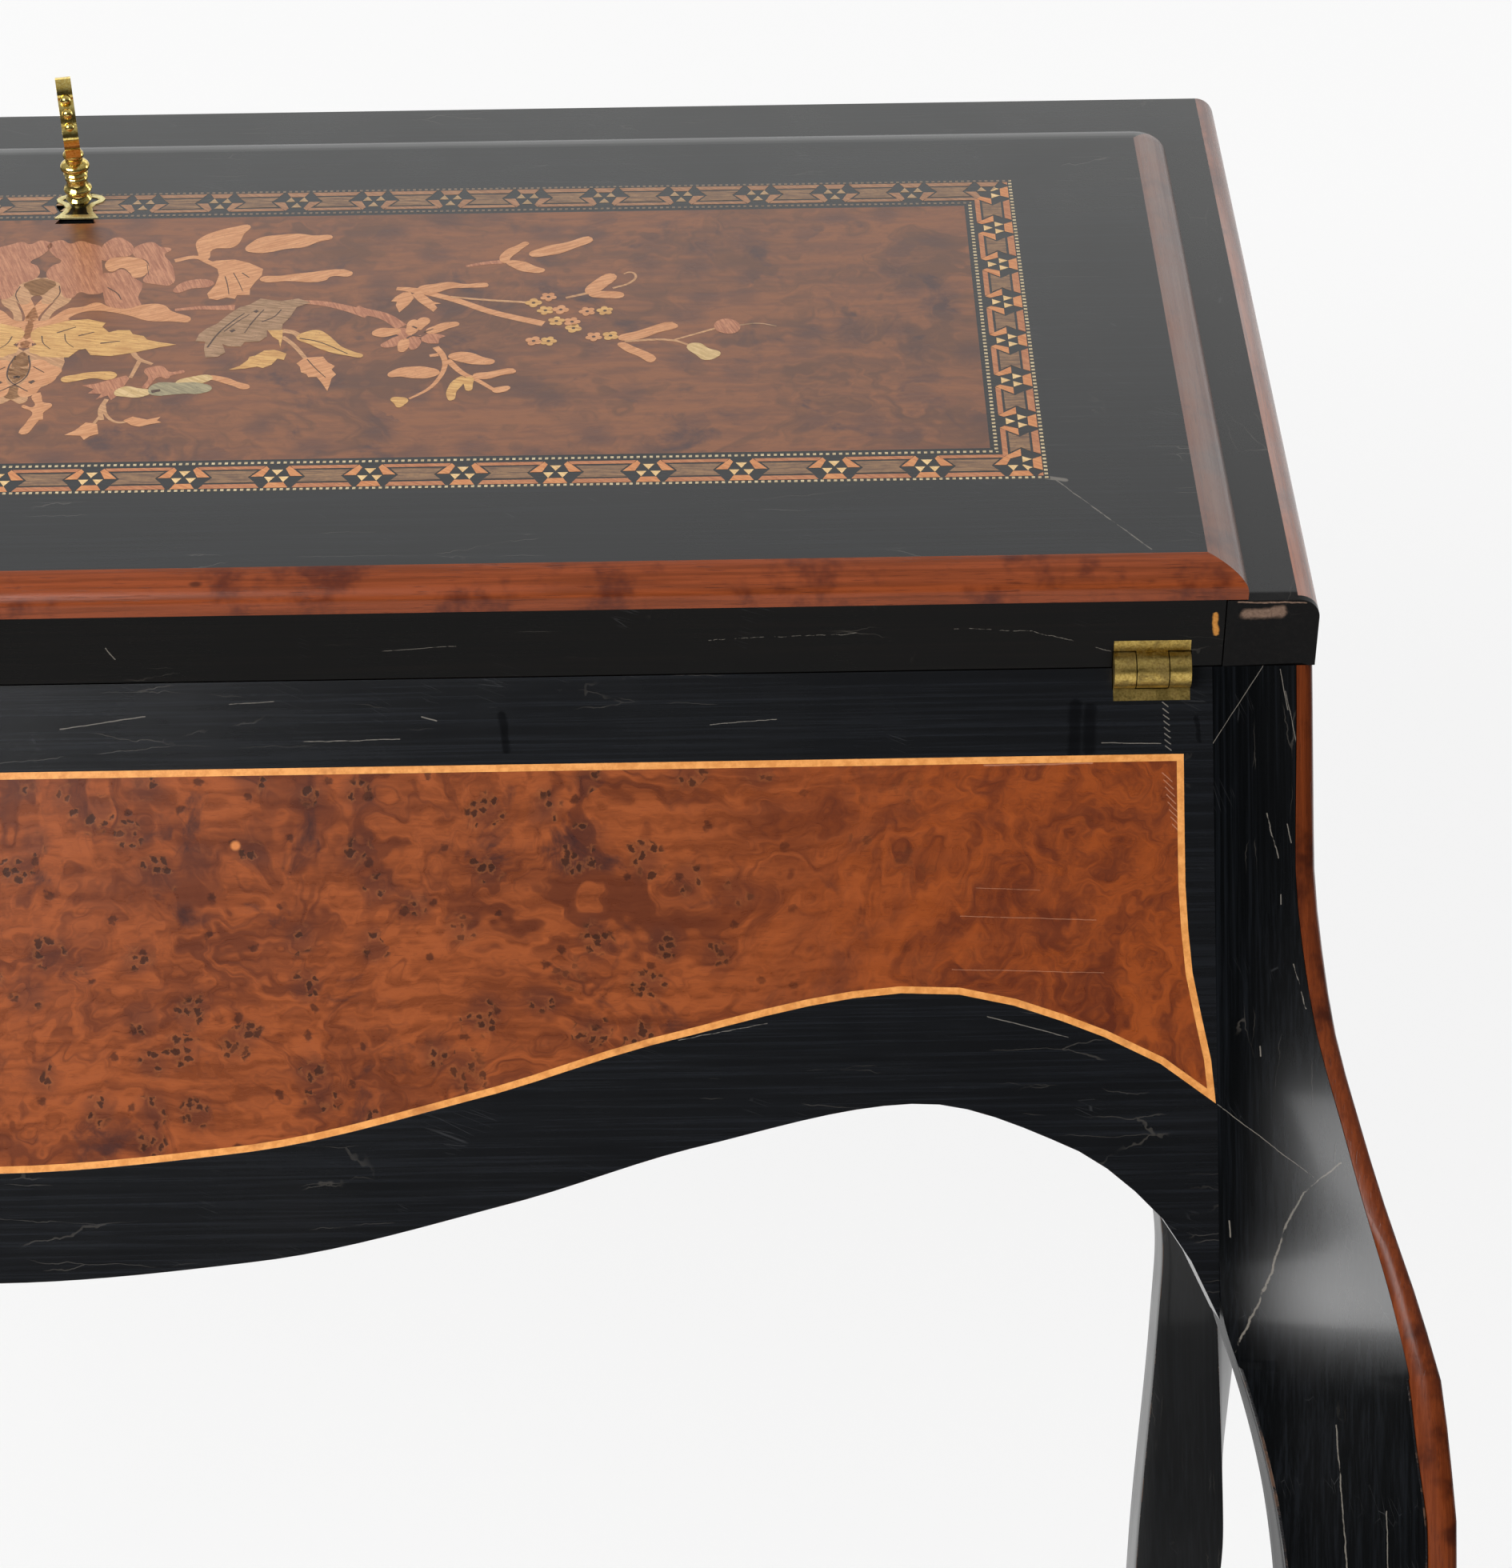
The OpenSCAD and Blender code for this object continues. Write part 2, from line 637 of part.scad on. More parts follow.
module drawer_knob(i) {
    r = knob_d / 2;
    color("#e8dcc0") translate([bay_x(i), nest_y, (drawer_low + drawer_high) / 2]) rotate([90, 0, 0])
        rotate_extrude() polygon([
            [0, -front_t], [r * 0.4, -front_t], [r * 0.4, 0], [r * 0.62, 0], [r * 0.62, knob_len * 0.1],
            [r * 0.42, knob_len * 0.22], [r * 0.4, knob_len * 0.4], [r * 0.75, knob_len * 0.52],
            [r, knob_len * 0.68], [r * 0.95, knob_len * 0.84], [r * 0.6, knob_len * 0.97], [0, knob_len]
        ]);
}

// Hinges. The axis lies just outside the angle between the lid and the apron.
axis_y = -half_d - axis_out;
axis_z = writing_h - axis_down;
hinge_x = half_w - hinge_in;
mid_w = hinge_w * knuckle_share;
barrel_r = barrel_d / 2;
lip_t = 1.2;
module along_axis(w, r) {
    translate([hinge_x - w / 2, axis_y, axis_z]) rotate([0, 90, 0]) cylinder(h = w, r = r);
}
module fixed_leaf_plates(w) {
    block([hinge_x - w / 2, hinge_x + w / 2], [-half_d, -half_d + leaf_len], [writing_h - leaf_t, writing_h]);
    block([hinge_x - w / 2, hinge_x + w / 2], [-half_d, -half_d + lip_t],
        [writing_h - hinge_lip, writing_h]);
}
module hinge_fixed_bed() {
    along_axis(hinge_w + 2 * gap, barrel_r + gap);
    fixed_leaf_plates(hinge_w);
}
module lid_leaf_plates(w) {
    slope() {
        block([hinge_x - w / 2, hinge_x + w / 2], [gap, leaf_len], [0, leaf_t]);
        block([hinge_x - w / 2, hinge_x + w / 2], [gap, gap + lip_t], [0, hinge_lip]);
    }
}
module hinge_leaf_bed() {
    along_axis(hinge_w + 2 * gap, barrel_r + gap);
    lid_leaf_plates(hinge_w);
}
pin_gap = 0.05;
module hinge_fixed_right() {
    color("#a08c4a") difference() {
        union() {
            fixed_leaf_plates(hinge_w);
            along_axis(hinge_w, barrel_r);
        }
        along_axis(mid_w, barrel_r + gap);
        along_axis(hinge_w + 2, pin_d / 2 + pin_gap);
    }
}
module hinge_leaf_right() {
    color("#a08c4a") difference() {
        union() {
            difference() {
                lid_leaf_plates(hinge_w);
                along_axis(hinge_w + 2, barrel_r + gap);
            }
            intersection() {
                lid_leaf_plates(mid_w - 2 * gap);
                along_axis(hinge_w, barrel_r + 2 * gap);
            }
            along_axis(mid_w - 2 * gap, barrel_r);
        }
        along_axis(hinge_w + 2, pin_d / 2 + pin_gap);
    }
}
module hinge_pins() { color("#a08c4a") both() along_axis(hinge_w, pin_d / 2); }

// Lid: a board between the gables with a wider raised face on it
face_x = gable_x + face_over;
face_s = lid_len + rail_over;
face_n = lid_t + gap;
face_top = lid_t + face_h;
inner_x = face_x - mould_w;
band_x = face_x - band_side;
band_s = [band_bottom, face_s - band_top];
key_s = lid_len - key_down;
leather_s = [leather_low, lid_len - gap - lock_h - leather_top];
module lid_board() {
    color("#1d1f22") difference() {
        slope() block([-lid_x, lid_x], [gap, lid_len - gap], [0, face_n]);
        both() hinge_leaf_bed();
        slope() {
            block([-lid_x + leather_side, lid_x - leather_side],
                leather_s, [-1, veneer_t]);
            translate([lock_off, 0, 0]) block([-lock_w / 2, lock_w / 2],
                [lid_len - gap - lock_h, lid_len], [-1, lock_t]);
            keyhole(face_n + 1);
        }
    }
}
// Tunnel for the key, from inside the lock up to n
tunnel_r = shank_d / 2 + 2 * gap;
slot_w = bit_t + 4 * gap;
module keyhole(n) {
    translate([lock_off, key_s, 0]) {
        cylinder(h = n, r = tunnel_r);
        block([-slot_w / 2, slot_w / 2], [-bit_r - 2 * gap, 0], [0, n]);
    }
}
module lid_face() {
    color("#1d1f22") slope() difference() {
        block([-inner_x, inner_x], [mould_w, face_s - mould_w], [face_n, face_top]);
        block([-band_x, band_x], band_s, [face_top - veneer_t, face_top + 1]);
        escutcheon_body();
        keyhole(face_top + 1);
    }
}
module lid_field() {
    color("#6e4a3a") slope() difference() {
        block([-band_x + band_w, band_x - band_w], [band_s[0] + band_w, band_s[1] - band_w],
            [face_top - veneer_t, face_top]);
        escutcheon_body();
    }
}
module lid_banding() {
    color("#c08a58") slope() difference() {
        block([-band_x, band_x], band_s, [face_top - veneer_t, face_top]);
        block([-band_x + band_w, band_x - band_w], [band_s[0] + band_w, band_s[1] - band_w],
            [face_top - 2 * veneer_t, face_top + 1]);
        escutcheon_body();
    }
}
// One moulding of the face, from corner to corner along X, with its outer edge at s = 0
module moulding_bar(length) {
    steps = 12;
    rise = face_h - gap - mould_edge;
    intersection() {
        translate([-length / 2, 0, face_n]) rotate([90, 0, 90]) linear_extrude(length) polygon(concat(
            [for (i = [0 : steps])
                let (t = 90 * i / steps)
                [mould_w * (1 - cos(t)), mould_edge + rise * sin(t)]],
            [[mould_w, 0], [0, 0]]
        ));
        translate([0, 0, face_n - 1]) linear_extrude(face_h + 2) polygon([
            [-length / 2, 0], [length / 2, 0], [length / 2 - mould_w, mould_w], [-length / 2 + mould_w, mould_w]
        ]);
    }
}
module lid_moulding_bottom() { color("#96521f") slope() moulding_bar(2 * face_x); }
module lid_moulding_top() {
    color("#1d1f22") slope() translate([0, face_s, 0]) rotate([0, 0, 180]) moulding_bar(2 * face_x);
}
module lid_moulding_right() {
    color("#96521f") slope() translate([face_x, face_s / 2, 0]) rotate([0, 0, 90]) moulding_bar(face_s);
}
module lid_leather() {
    color("#6a2a22") slope() block([-lid_x + leather_side, lid_x - leather_side],
        leather_s, [0, veneer_t]);
}

// Lock, bolt, strike plate, escutcheon and key
bolt_n = lock_wall + 1.4;
bolt_top = lid_len - gap;
module lock_case() {
    top = lid_len - gap;
    color("#b09a58") slope() translate([lock_off, 0, 0]) difference() {
        block([-lock_w / 2, lock_w / 2], [top - lock_h, top], [0, lock_t]);
        block([-lock_w / 2 + lock_wall, lock_w / 2 - lock_wall],
            [top - lock_h + lock_wall, top - 2 * lock_wall], [lock_wall, lock_t + 1]);
        block([-bolt_w / 2 - gap, bolt_w / 2 + gap], [top - lock_h / 2, top + 1],
            [bolt_n - gap, bolt_n + bolt_t + gap]);
    }
}
module lock_bolt() {
    low = key_s + bit_r + 2;
    color("#b8a468") slope() translate([lock_off, 0, 0]) difference() {
        block([-bolt_w / 2, bolt_w / 2], [low, bolt_top], [bolt_n, bolt_n + bolt_t]);
        translate([0, low, bolt_n - 1]) cylinder(h = bolt_t + 2, r = bolt_w * 0.22);
    }
}
strike_t = 1.5;
module strike_plate_body(proud = 0) {
    slope() block([lock_off - bolt_w, lock_off + bolt_w],
        [lid_len + gap - proud, lid_len + gap + strike_t], [bolt_n - 2, bolt_n + bolt_t + 2]);
}
module strike_plate() {
    color("#b09a58") difference() {
        strike_plate_body();
        slope() block([lock_off - bolt_w / 2 - gap, lock_off + bolt_w / 2 + gap],
            [lid_len, lid_len + gap + strike_t + 1], [bolt_n - gap, bolt_n + bolt_t + gap]);
    }
}
// A round head over a waisted foot
module escutcheon_outline() {
    r = plate_d / 2;
    circle(r);
    polygon([
        [-r * 0.55, 0], [-r * 0.5, r - plate_h * 0.72], [-r * 0.72, r - plate_h * 0.86], [-r * 0.86, r - plate_h],
        [r * 0.86, r - plate_h], [r * 0.72, r - plate_h * 0.86], [r * 0.5, r - plate_h * 0.72], [r * 0.55, 0]
    ]);
}
module escutcheon_body() {
    translate([lock_off, key_s, face_top - veneer_t]) linear_extrude(veneer_t + 0.3) escutcheon_outline();
}
module escutcheon() {
    color("#e0d488") slope() difference() {
        escutcheon_body();
        keyhole(face_top + 1);
    }
}
// The key stands in the lock with its bow edge-on to the front
module key() {
    r = shank_d / 2;
    low = bolt_n;
    neck = face_top + key_h - bow_w - 2;
    ring = bow_w / 2;
    color("#d8b040") slope() translate([lock_off, key_s, 0]) {
        translate([0, 0, low]) cylinder(h = neck - low + 2, r = r);
        block([-bit_t / 2, bit_t / 2], [-bit_r, 0], [low, low + 5]);
        translate([0, 0, face_top]) rotate_extrude() polygon([
            [0, 1.2], [r + 0.8, 1.2], [r + 1.6, 2.4], [r + 0.8, 3.6], [r + 0.6, 4.6], [r + 1.9, 5.8],
            [r + 0.9, 7.2], [r + 0.4, 9.6], [r + 1.3, 11], [r + 0.3, 12.4], [r + 0.2, neck - face_top + 1],
            [0, neck - face_top + 1]
        ]);
        translate([bow_t / 2, 0, face_top + key_h - ring]) rotate([0, -90, 0]) linear_extrude(bow_t)
            bow_outline(ring);
    }
}
// Pierced bow: two scrolls meet under a small crest
module bow_outline(r) {
    difference() {
        union() {
            translate([-r * 0.1, 0]) circle(r * 0.8);
            for (y = [-1, 1]) translate([-r * 0.25, y * r * 0.62]) circle(r * 0.38);
            translate([r * 0.62, 0]) circle(r * 0.38);
            translate([-r * 0.86, 0]) square([r * 0.5, r * 0.5], center = true);
        }
        for (y = [-1, 1]) {
            translate([-r * 0.2, y * r * 0.36]) circle(r * 0.24);
            translate([r * 0.24, y * r * 0.24]) circle(r * 0.15);
        }
        translate([r * 0.66, 0]) circle(r * 0.12);
    }
}

mirror([1, 0, 0]) leg_front_right();  // leg_front_left
leg_front_right();
mirror([1, 0, 0]) leg_rear_right();  // leg_rear_left
leg_rear_right();
corner_strips();
front_apron();
front_panel();
front_stringing();
mirror([1, 0, 0]) side_apron_right();  // side_apron_left
side_apron_right();
side_panels();
side_stringing();
rear_apron();
mirror([1, 0, 0]) gable_right();  // gable_left
gable_right();
gable_strips();
top_rail();
top_board();
back_panel();
carcass_floor();
mirror([1, 0, 0]) bearer_right();  // bearer_left
bearer_right();
writing_board();
nest_floor();
nest_shelf();
mirror([1, 0, 0]) nest_end_right();  // nest_end_left
nest_end_right();
mirror([1, 0, 0]) drawer_divider_right();  // drawer_divider_left
drawer_divider_right();
mirror([1, 0, 0]) letter_divider_right();  // letter_divider_left
letter_divider_right();
strike_plate();
mirror([1, 0, 0]) hinge_fixed_right();  // hinge_fixed_left
hinge_fixed_right();
hinge_pins();
lid_board();
lid_face();
lid_field();
lid_banding();
lid_moulding_bottom();
mirror([1, 0, 0]) lid_moulding_right();  // lid_moulding_left
lid_moulding_right();
lid_moulding_top();
lid_leather();
mirror([1, 0, 0]) hinge_leaf_right();  // hinge_leaf_left
hinge_leaf_right();
lock_case();
escutcheon();
key();
lock_bolt();
well_panel();
drawer_box(1);  // drawer_box_1
drawer_front(1);  // drawer_front_1
drawer_knob(1);  // drawer_knob_1
drawer_box(2);  // drawer_box_2
drawer_front(2);  // drawer_front_2
drawer_knob(2);  // drawer_knob_2
drawer_box(3);  // drawer_box_3
drawer_front(3);  // drawer_front_3
drawer_knob(3);  // drawer_knob_3
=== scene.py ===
from math import cos, pi, radians, sin

import bmesh
import bpy
from mathutils import Matrix, Vector


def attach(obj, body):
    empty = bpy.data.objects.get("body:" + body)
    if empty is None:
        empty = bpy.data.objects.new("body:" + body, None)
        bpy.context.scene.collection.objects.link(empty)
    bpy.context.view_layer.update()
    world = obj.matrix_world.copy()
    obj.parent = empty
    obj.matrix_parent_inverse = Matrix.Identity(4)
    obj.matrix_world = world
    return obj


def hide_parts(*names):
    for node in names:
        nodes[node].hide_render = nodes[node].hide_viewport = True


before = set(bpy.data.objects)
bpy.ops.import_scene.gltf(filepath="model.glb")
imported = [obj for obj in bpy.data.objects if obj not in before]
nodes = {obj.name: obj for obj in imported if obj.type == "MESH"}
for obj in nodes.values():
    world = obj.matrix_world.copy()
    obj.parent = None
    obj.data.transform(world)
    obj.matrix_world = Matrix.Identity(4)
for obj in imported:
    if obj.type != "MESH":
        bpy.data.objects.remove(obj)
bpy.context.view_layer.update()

# The photographer stood a little over a metre in front of the desk, at the height of its writing
# level and right of its middle, and held a long lens almost level, leaning slightly.
lens_tilt = radians(1.947)
lens_turn = radians(0.153)
lens_lean = radians(-0.912)
ahead = Vector((sin(lens_turn) * cos(lens_tilt), cos(lens_turn) * cos(lens_tilt), -sin(lens_tilt)))
level = Vector((cos(lens_turn), -sin(lens_turn), 0))
upward = level.cross(ahead)
picture_right = level * cos(lens_lean) + upward * sin(lens_lean)
picture_up = upward * cos(lens_lean) - level * sin(lens_lean)
camera_data = bpy.data.cameras.new("camera")
lens_in_pixels, photo_height, sensor = 4771.4, 1960, 36
camera_data.sensor_width = sensor
camera_data.lens = lens_in_pixels * sensor / photo_height
camera = bpy.data.objects.new("camera", camera_data)
bpy.context.scene.collection.objects.link(camera)
turned = Matrix((picture_right, picture_up, -ahead)).transposed().to_4x4()
camera.matrix_world = Matrix.Translation((0.20542, -1.24881, 0.75031)) @ turned
bpy.context.scene.camera = camera
bpy.context.scene.view_settings.view_transform = "Standard"


# The studio is a pale painted floor with a white wall close behind the desk. Both are only a stage.
# They are seen near white, and keep the soft shadows that the desk throws on them.
def wire(tree, kind, wires=None, **settings):
    """One shader node. Each wire is a plain value, or the output of another node."""
    made = tree.nodes.new(kind)
    for label, value in settings.items():
        setattr(made, label, value)
    for label, value in (wires or {}).items():
        if isinstance(value, bpy.types.NodeSocket):
            tree.links.new(value, made.inputs[label])
        else:
            made.inputs[label].default_value = value
    return made


def sum_of(tree, operation, a, b=0.0, c=0.0, clamp=False):
    """One step of arithmetic on values."""
    return wire(tree, "ShaderNodeMath", {0: a, 1: b, 2: c}, operation=operation, use_clamp=clamp).outputs[0]


def times(tree, a, b):
    """One value multiplied by another."""
    return sum_of(tree, "MULTIPLY", a, b)


def fade(tree, value, start, end, low=0.0, high=1.0):
    """A value that runs smoothly from low at start to high at end."""
    wires = {"Value": value, "From Min": start, "From Max": end, "To Min": low, "To Max": high}
    return wire(tree, "ShaderNodeMapRange", wires, interpolation_type="SMOOTHSTEP").outputs[0]


def stain(tree, share, under, over):
    """One colour laid over another by a mask."""
    return wire(tree, "ShaderNodeMix", {0: share, 6: under, 7: over}, data_type="RGBA").outputs[2]


def parts_of(tree, vector):
    """The three directions of a place, as values named X, Y and Z."""
    return wire(tree, "ShaderNodeSeparateXYZ", {0: vector}).outputs


def paint(code):
    """A paint chart code, such as 8a4a28, as the linear colour that the shader takes."""
    parts = [int(code[i : i + 2], 16) / 255 for i in (0, 2, 4)]
    return tuple(c / 12.92 if c < 0.04045 else ((c + 0.055) / 1.055) ** 2.4 for c in parts) + (1,)


def finish(name):
    """A new material, and its node tree, empty but for the output."""
    made = bpy.data.materials.new(name)
    made.use_nodes = True
    for old in list(made.node_tree.nodes):
        if old.type != "OUTPUT_MATERIAL":
            made.node_tree.nodes.remove(old)
    return made, made.node_tree


def close(made, shader):
    """Joins the last shader of a material to its output."""
    surface = made.node_tree.nodes["Material Output"].inputs["Surface"]
    made.node_tree.links.new(shader.outputs[0], surface)
    return made


def studio_white(name, shade, seen):
    """Matt paint that glows for the camera and for reflections, and is clear from behind."""
    made, tree = finish(name)
    light = wire(tree, "ShaderNodeLightPath").outputs
    direct = sum_of(tree, "MAXIMUM", light["Is Camera Ray"], light["Is Glossy Ray"])
    matt = wire(tree, "ShaderNodeBsdfDiffuse", {"Color": paint(shade)}).outputs[0]
    glow = wire(tree, "ShaderNodeEmission", {"Color": (1, 1, 1, 1), "Strength": 1.0}).outputs[0]
    front = wire(tree, "ShaderNodeMixShader", {0: times(tree, direct, seen), 1: matt, 2: glow})
    behind = wire(tree, "ShaderNodeNewGeometry").outputs["Backfacing"]
    clear = wire(tree, "ShaderNodeBsdfTransparent").outputs[0]
    return close(made, wire(tree, "ShaderNodeMixShader", {0: behind, 1: front.outputs[0], 2: clear}))


bpy.ops.mesh.primitive_circle_add(vertices=96, radius=1.7, fill_type="NGON", location=(0, 0, 0))
floor = bpy.context.object
floor.name = "studio_floor"
floor.data.materials.append(studio_white("studio_floor_paint", "eeeeec", 0.7))

bpy.ops.mesh.primitive_plane_add(size=1, location=(0.2, 0.62, 0.78), rotation=(radians(90), 0, 0))
wall = bpy.context.object
wall.scale = (2.9, 1.56, 1)
wall.name = "studio_wall"
wall.data.materials.append(studio_white("studio_wall_paint", "f4f4f2", 0.85))

# Soft light comes from a large frame overhead, a softbox high at the front left and a weaker
# one higher at the right. The room around them is dim and cool in front, and brighter above.
world = bpy.data.worlds.new("studio")
bpy.context.scene.world = world
world.use_nodes = True
sky = world.node_tree
sky.nodes.clear()
aim = parts_of(sky, wire(sky, "ShaderNodeTexCoord").outputs["Generated"])
rise = wire(sky, "ShaderNodeMapRange", {"Value": aim["Z"], "From Min": -1.0, "From Max": 1.0})
gradient = wire(sky, "ShaderNodeValToRGB", {0: rise.outputs[0]})
stops = gradient.color_ramp.elements
stops[0].position, stops[0].color = 0.0, (0.03, 0.025, 0.02, 1)
stops[1].position, stops[1].color = 1.0, (0.5, 0.51, 0.53, 1)
for height, grey in ((0.47, 0.05), (0.51, 0.11), (0.58, 0.15), (0.78, 0.4)):
    stops.new(height).color = (grey * 0.97, grey, grey * 1.06, 1)
overhead = times(sky, fade(sky, aim["Y"], 0.22, 0.42), fade(sky, aim["Z"], 0.5, 0.8))
room = stain(sky, overhead, gradient.outputs[0], (1.45, 1.46, 1.44, 1))
dim = wire(sky, "ShaderNodeBackground", {"Color": room, "Strength": 1.0}).outputs[0]
bright = wire(sky, "ShaderNodeBackground", {"Color": (1, 1, 1, 1), "Strength": 1.0}).outputs[0]
seen = wire(sky, "ShaderNodeLightPath").outputs["Is Camera Ray"]
either = wire(sky, "ShaderNodeMixShader", {0: seen, 1: dim, 2: bright})
wire(sky, "ShaderNodeOutputWorld", {"Surface": either.outputs[0]})


def softbox(name, place, aim, width, height, watts):
    """An area lamp at a place, turned towards the point that it lights."""
    lamp_data = bpy.data.lights.new(name, "AREA")
    lamp_data.shape = "RECTANGLE"
    lamp_data.size, lamp_data.size_y = width, height
    lamp_data.energy = watts
    lamp = bpy.data.objects.new(name, lamp_data)
    bpy.context.scene.collection.objects.link(lamp)
    heading = (Vector(aim) - Vector(place)).normalized()
    lamp.matrix_world = Matrix.Translation(place) @ heading.to_track_quat("-Z", "Y").to_matrix().to_4x4()


softbox("front_softbox", (-0.95, -1.68, 1.27), (0.3, -0.22, 0.62), 1.5, 1.05, 40)
softbox("side_softbox", (1.7, 0.35, 1.6), (0.35, 0, 0.8), 0.5, 0.9, 5)


# The carcass and legs are ebonised: beech stained black and French polished, rubbed along its grain.
# Years of use have left fine rubbing lines, hairline cracks, dull patches and brown worn arrises.
def recipe(name, takes, figure):
    """A node group that several finishes share.

    Takes names its inputs besides Vector, with their starting values, or None for a place. The
    function figure draws it from them and returns its outputs by name.
    """
    tree = bpy.data.node_groups.new(name, "ShaderNodeTree")
    for label, start in {"Vector": None, **takes}.items():
        kind = "NodeSocketVector" if start is None else "NodeSocketFloat"
        socket = tree.interface.new_socket(label, in_out="INPUT", socket_type=kind)
        if start is not None:
            socket.default_value = start
    values = figure(tree, tree.nodes.new("NodeGroupInput").outputs)
    for label in values:
        tree.interface.new_socket(label, in_out="OUTPUT", socket_type="NodeSocketFloat")
    ends = tree.nodes.new("NodeGroupOutput").inputs
    for label, value in values.items():
        tree.links.new(value, ends[label])
    return tree


def apply(tree, group, **wires):
    """The outputs of a shared node group in a finish, with its inputs joined."""
    wires = {label.title().replace("_", " "): value for label, value in wires.items()}
    return wire(tree, "ShaderNodeGroup", wires, node_tree=group).outputs


def place_of(tree, operation, a, b=(0, 0, 0), scale=1.0):
    """One step of arithmetic on places."""
    return wire(tree, "ShaderNodeVectorMath", {0: a, 1: b, 3: scale}, operation=operation).outputs


def stretched(tree, vector, x, y, z):
    """The same place, with each direction stretched."""
    return place_of(tree, "MULTIPLY", vector, (x, y, z))[0]


def turned_place(tree, vector, angle):
    """The same place, turned in its own plane."""
    wires = {"Vector": vector, "Angle": angle}
    return wire(tree, "ShaderNodeVectorRotate", wires, rotation_type="Z_AXIS").outputs[0]


def cloud(tree, vector, scale, detail=3.0, rough=0.5, warp=0.0, colour=False):
    """Soft noise, as a value or as three values."""
    wires = {"Vector": vector, "Scale": scale, "Detail": detail, "Roughness": rough, "Distortion": warp}
    return wire(tree, "ShaderNodeTexNoise", wires).outputs["Color" if colour else "Fac"]


def cells_of(tree, vector, scale=1.0, **settings):
    """A pattern of cells, with the distance from their middles or edges and a colour for each."""
    return wire(tree, "ShaderNodeTexVoronoi", {"Vector": vector, "Scale": scale}, **settings).outputs


def shaken(tree, place, noise, reach):
    """A place pushed about by coloured noise."""
    push = place_of(tree, "SUBTRACT", noise, (0.5, 0.5, 0.5))[0]
    return place_of(tree, "ADD", place, place_of(tree, "SCALE", push, scale=reach)[0])[0]


def rubbed_figure(tree, given):
    """Rubbing lines along the grain, haze, hairline cracks and slanting scratches."""
    place = given["Vector"]
    rubbing = cloud(tree, stretched(tree, place, 0.012, 0.9, 0.9), 1.0, 4.0, 0.7)
    wavy = stretched(tree, cloud(tree, place, 0.12, 3.0, 0.6, 0.0, True), 0.25, 0.25, 0.25)
    crooked = place_of(tree, "ADD", stretched(tree, place, 0.012, 0.11, 0.11), wavy)[0]
    crack = fade(tree, cells_of(tree, crooked, feature="DISTANCE_TO_EDGE")["Distance"], 0.004, 0.012, 1.0, 0.0)
    hairline = times(tree, crack, fade(tree, cloud(tree, place, 0.035, 2.0), 0.56, 0.66))
    slant = stretched(tree, turned_place(tree, place, 0.35), 0.03, 0.5, 0.5)
    nick = fade(tree, cells_of(tree, slant, feature="DISTANCE_TO_EDGE")["Distance"], 0.0, 0.02, 1.0, 0.0)
    return {
        "Rubbing": rubbing,
        "Haze": cloud(tree, place, 0.02, 4.0, 0.6, 0.5),
        "Scratch": times(tree, nick, fade(tree, cloud(tree, place, 0.06, 2.0), 0.6, 0.7)),
        "Hairline": hairline,
        "Height": sum_of(tree, "MULTIPLY_ADD", rubbing, 0.35, times(tree, hairline, -1.0)),
    }


def scar_figure(tree, given):
    """A crack, joint or knock between two points, in millimetres, across a flat face."""
    noise = cloud(tree, given["Vector"], 0.15, 4.0, 0.65, 0.0, True)
    here = shaken(tree, given["Vector"], noise, given["Wander"])
    run = place_of(tree, "SUBTRACT", given["End"], given["Start"])[0]
    off = place_of(tree, "SUBTRACT", here, given["Start"])[0]
    along = place_of(tree, "DOT_PRODUCT", off, run)["Value"]
    whole = place_of(tree, "DOT_PRODUCT", run, run)["Value"]
    nearest = place_of(tree, "SCALE", run, scale=sum_of(tree, "DIVIDE", along, whole, clamp=True))[0]
    away = place_of(tree, "DISTANCE", off, nearest)["Value"]
    return {"Mask": fade(tree, sum_of(tree, "DIVIDE", away, given["Width"]), 0.4, 1.0, 1.0, 0.0)}


rubbed = recipe("rubbed_polish", {}, rubbed_figure)
scar = recipe("scar_line", {"Start": None, "End": None, "Width": 0.3, "Wander": 1.0}, scar_figure)


def scarred(tree, places, marks, near=None):
    """All the marks of one list on a finish, as one mask.

    A mark is its start and end in millimetres, its width and how far it wanders. Where near is
    given, the marks stay on the face whose depth is less than it.
    """
    depth = parts_of(tree, places)["Z"]
    places = stretched(tree, places, 1, 1, 0)
    total = 0.0
    for u, v, end_u, end_v, width, wander in marks:
        start, end = (u, v, 0), (end_u, end_v, 0)
        mask = apply(tree, scar, vector=places, start=start, end=end, width=width, wander=wander)[0]
        total = sum_of(tree, "MAXIMUM", total, mask)
    return total if near is None else times(tree, total, fade(tree, depth, near, near + 8, 1.0, 0.0))


slope_foot, slope_angle = (0, -0.215, 0.745), radians(37)


def laid(tree, way):
    """Places in millimetres with the grain along X: across, back, up, or in the frame of the slope."""
    place = wire(tree, "ShaderNodeTexCoord").outputs["Object"]
    if way.startswith("slope"):
        wires = {"Vector": place, "Location": slope_foot, "Rotation": (slope_angle, 0, 0)}
        place = wire(tree, "ShaderNodeMapping", wires, vector_type="TEXTURE").outputs[0]
    grains = {"across": "XZY", "back": "YZX", "up": "ZXY", "top": "XYZ"}
    grains.update({"slope_across": "XYZ", "slope_up": "YXZ", "slope_edge": "XZY"})
    split = parts_of(tree, place)
    joined = wire(tree, "ShaderNodeCombineXYZ", {i: split[axis] for i, axis in enumerate(grains[way])})
    return stretched(tree, joined.outputs[0], 1000, 1000, 1000)


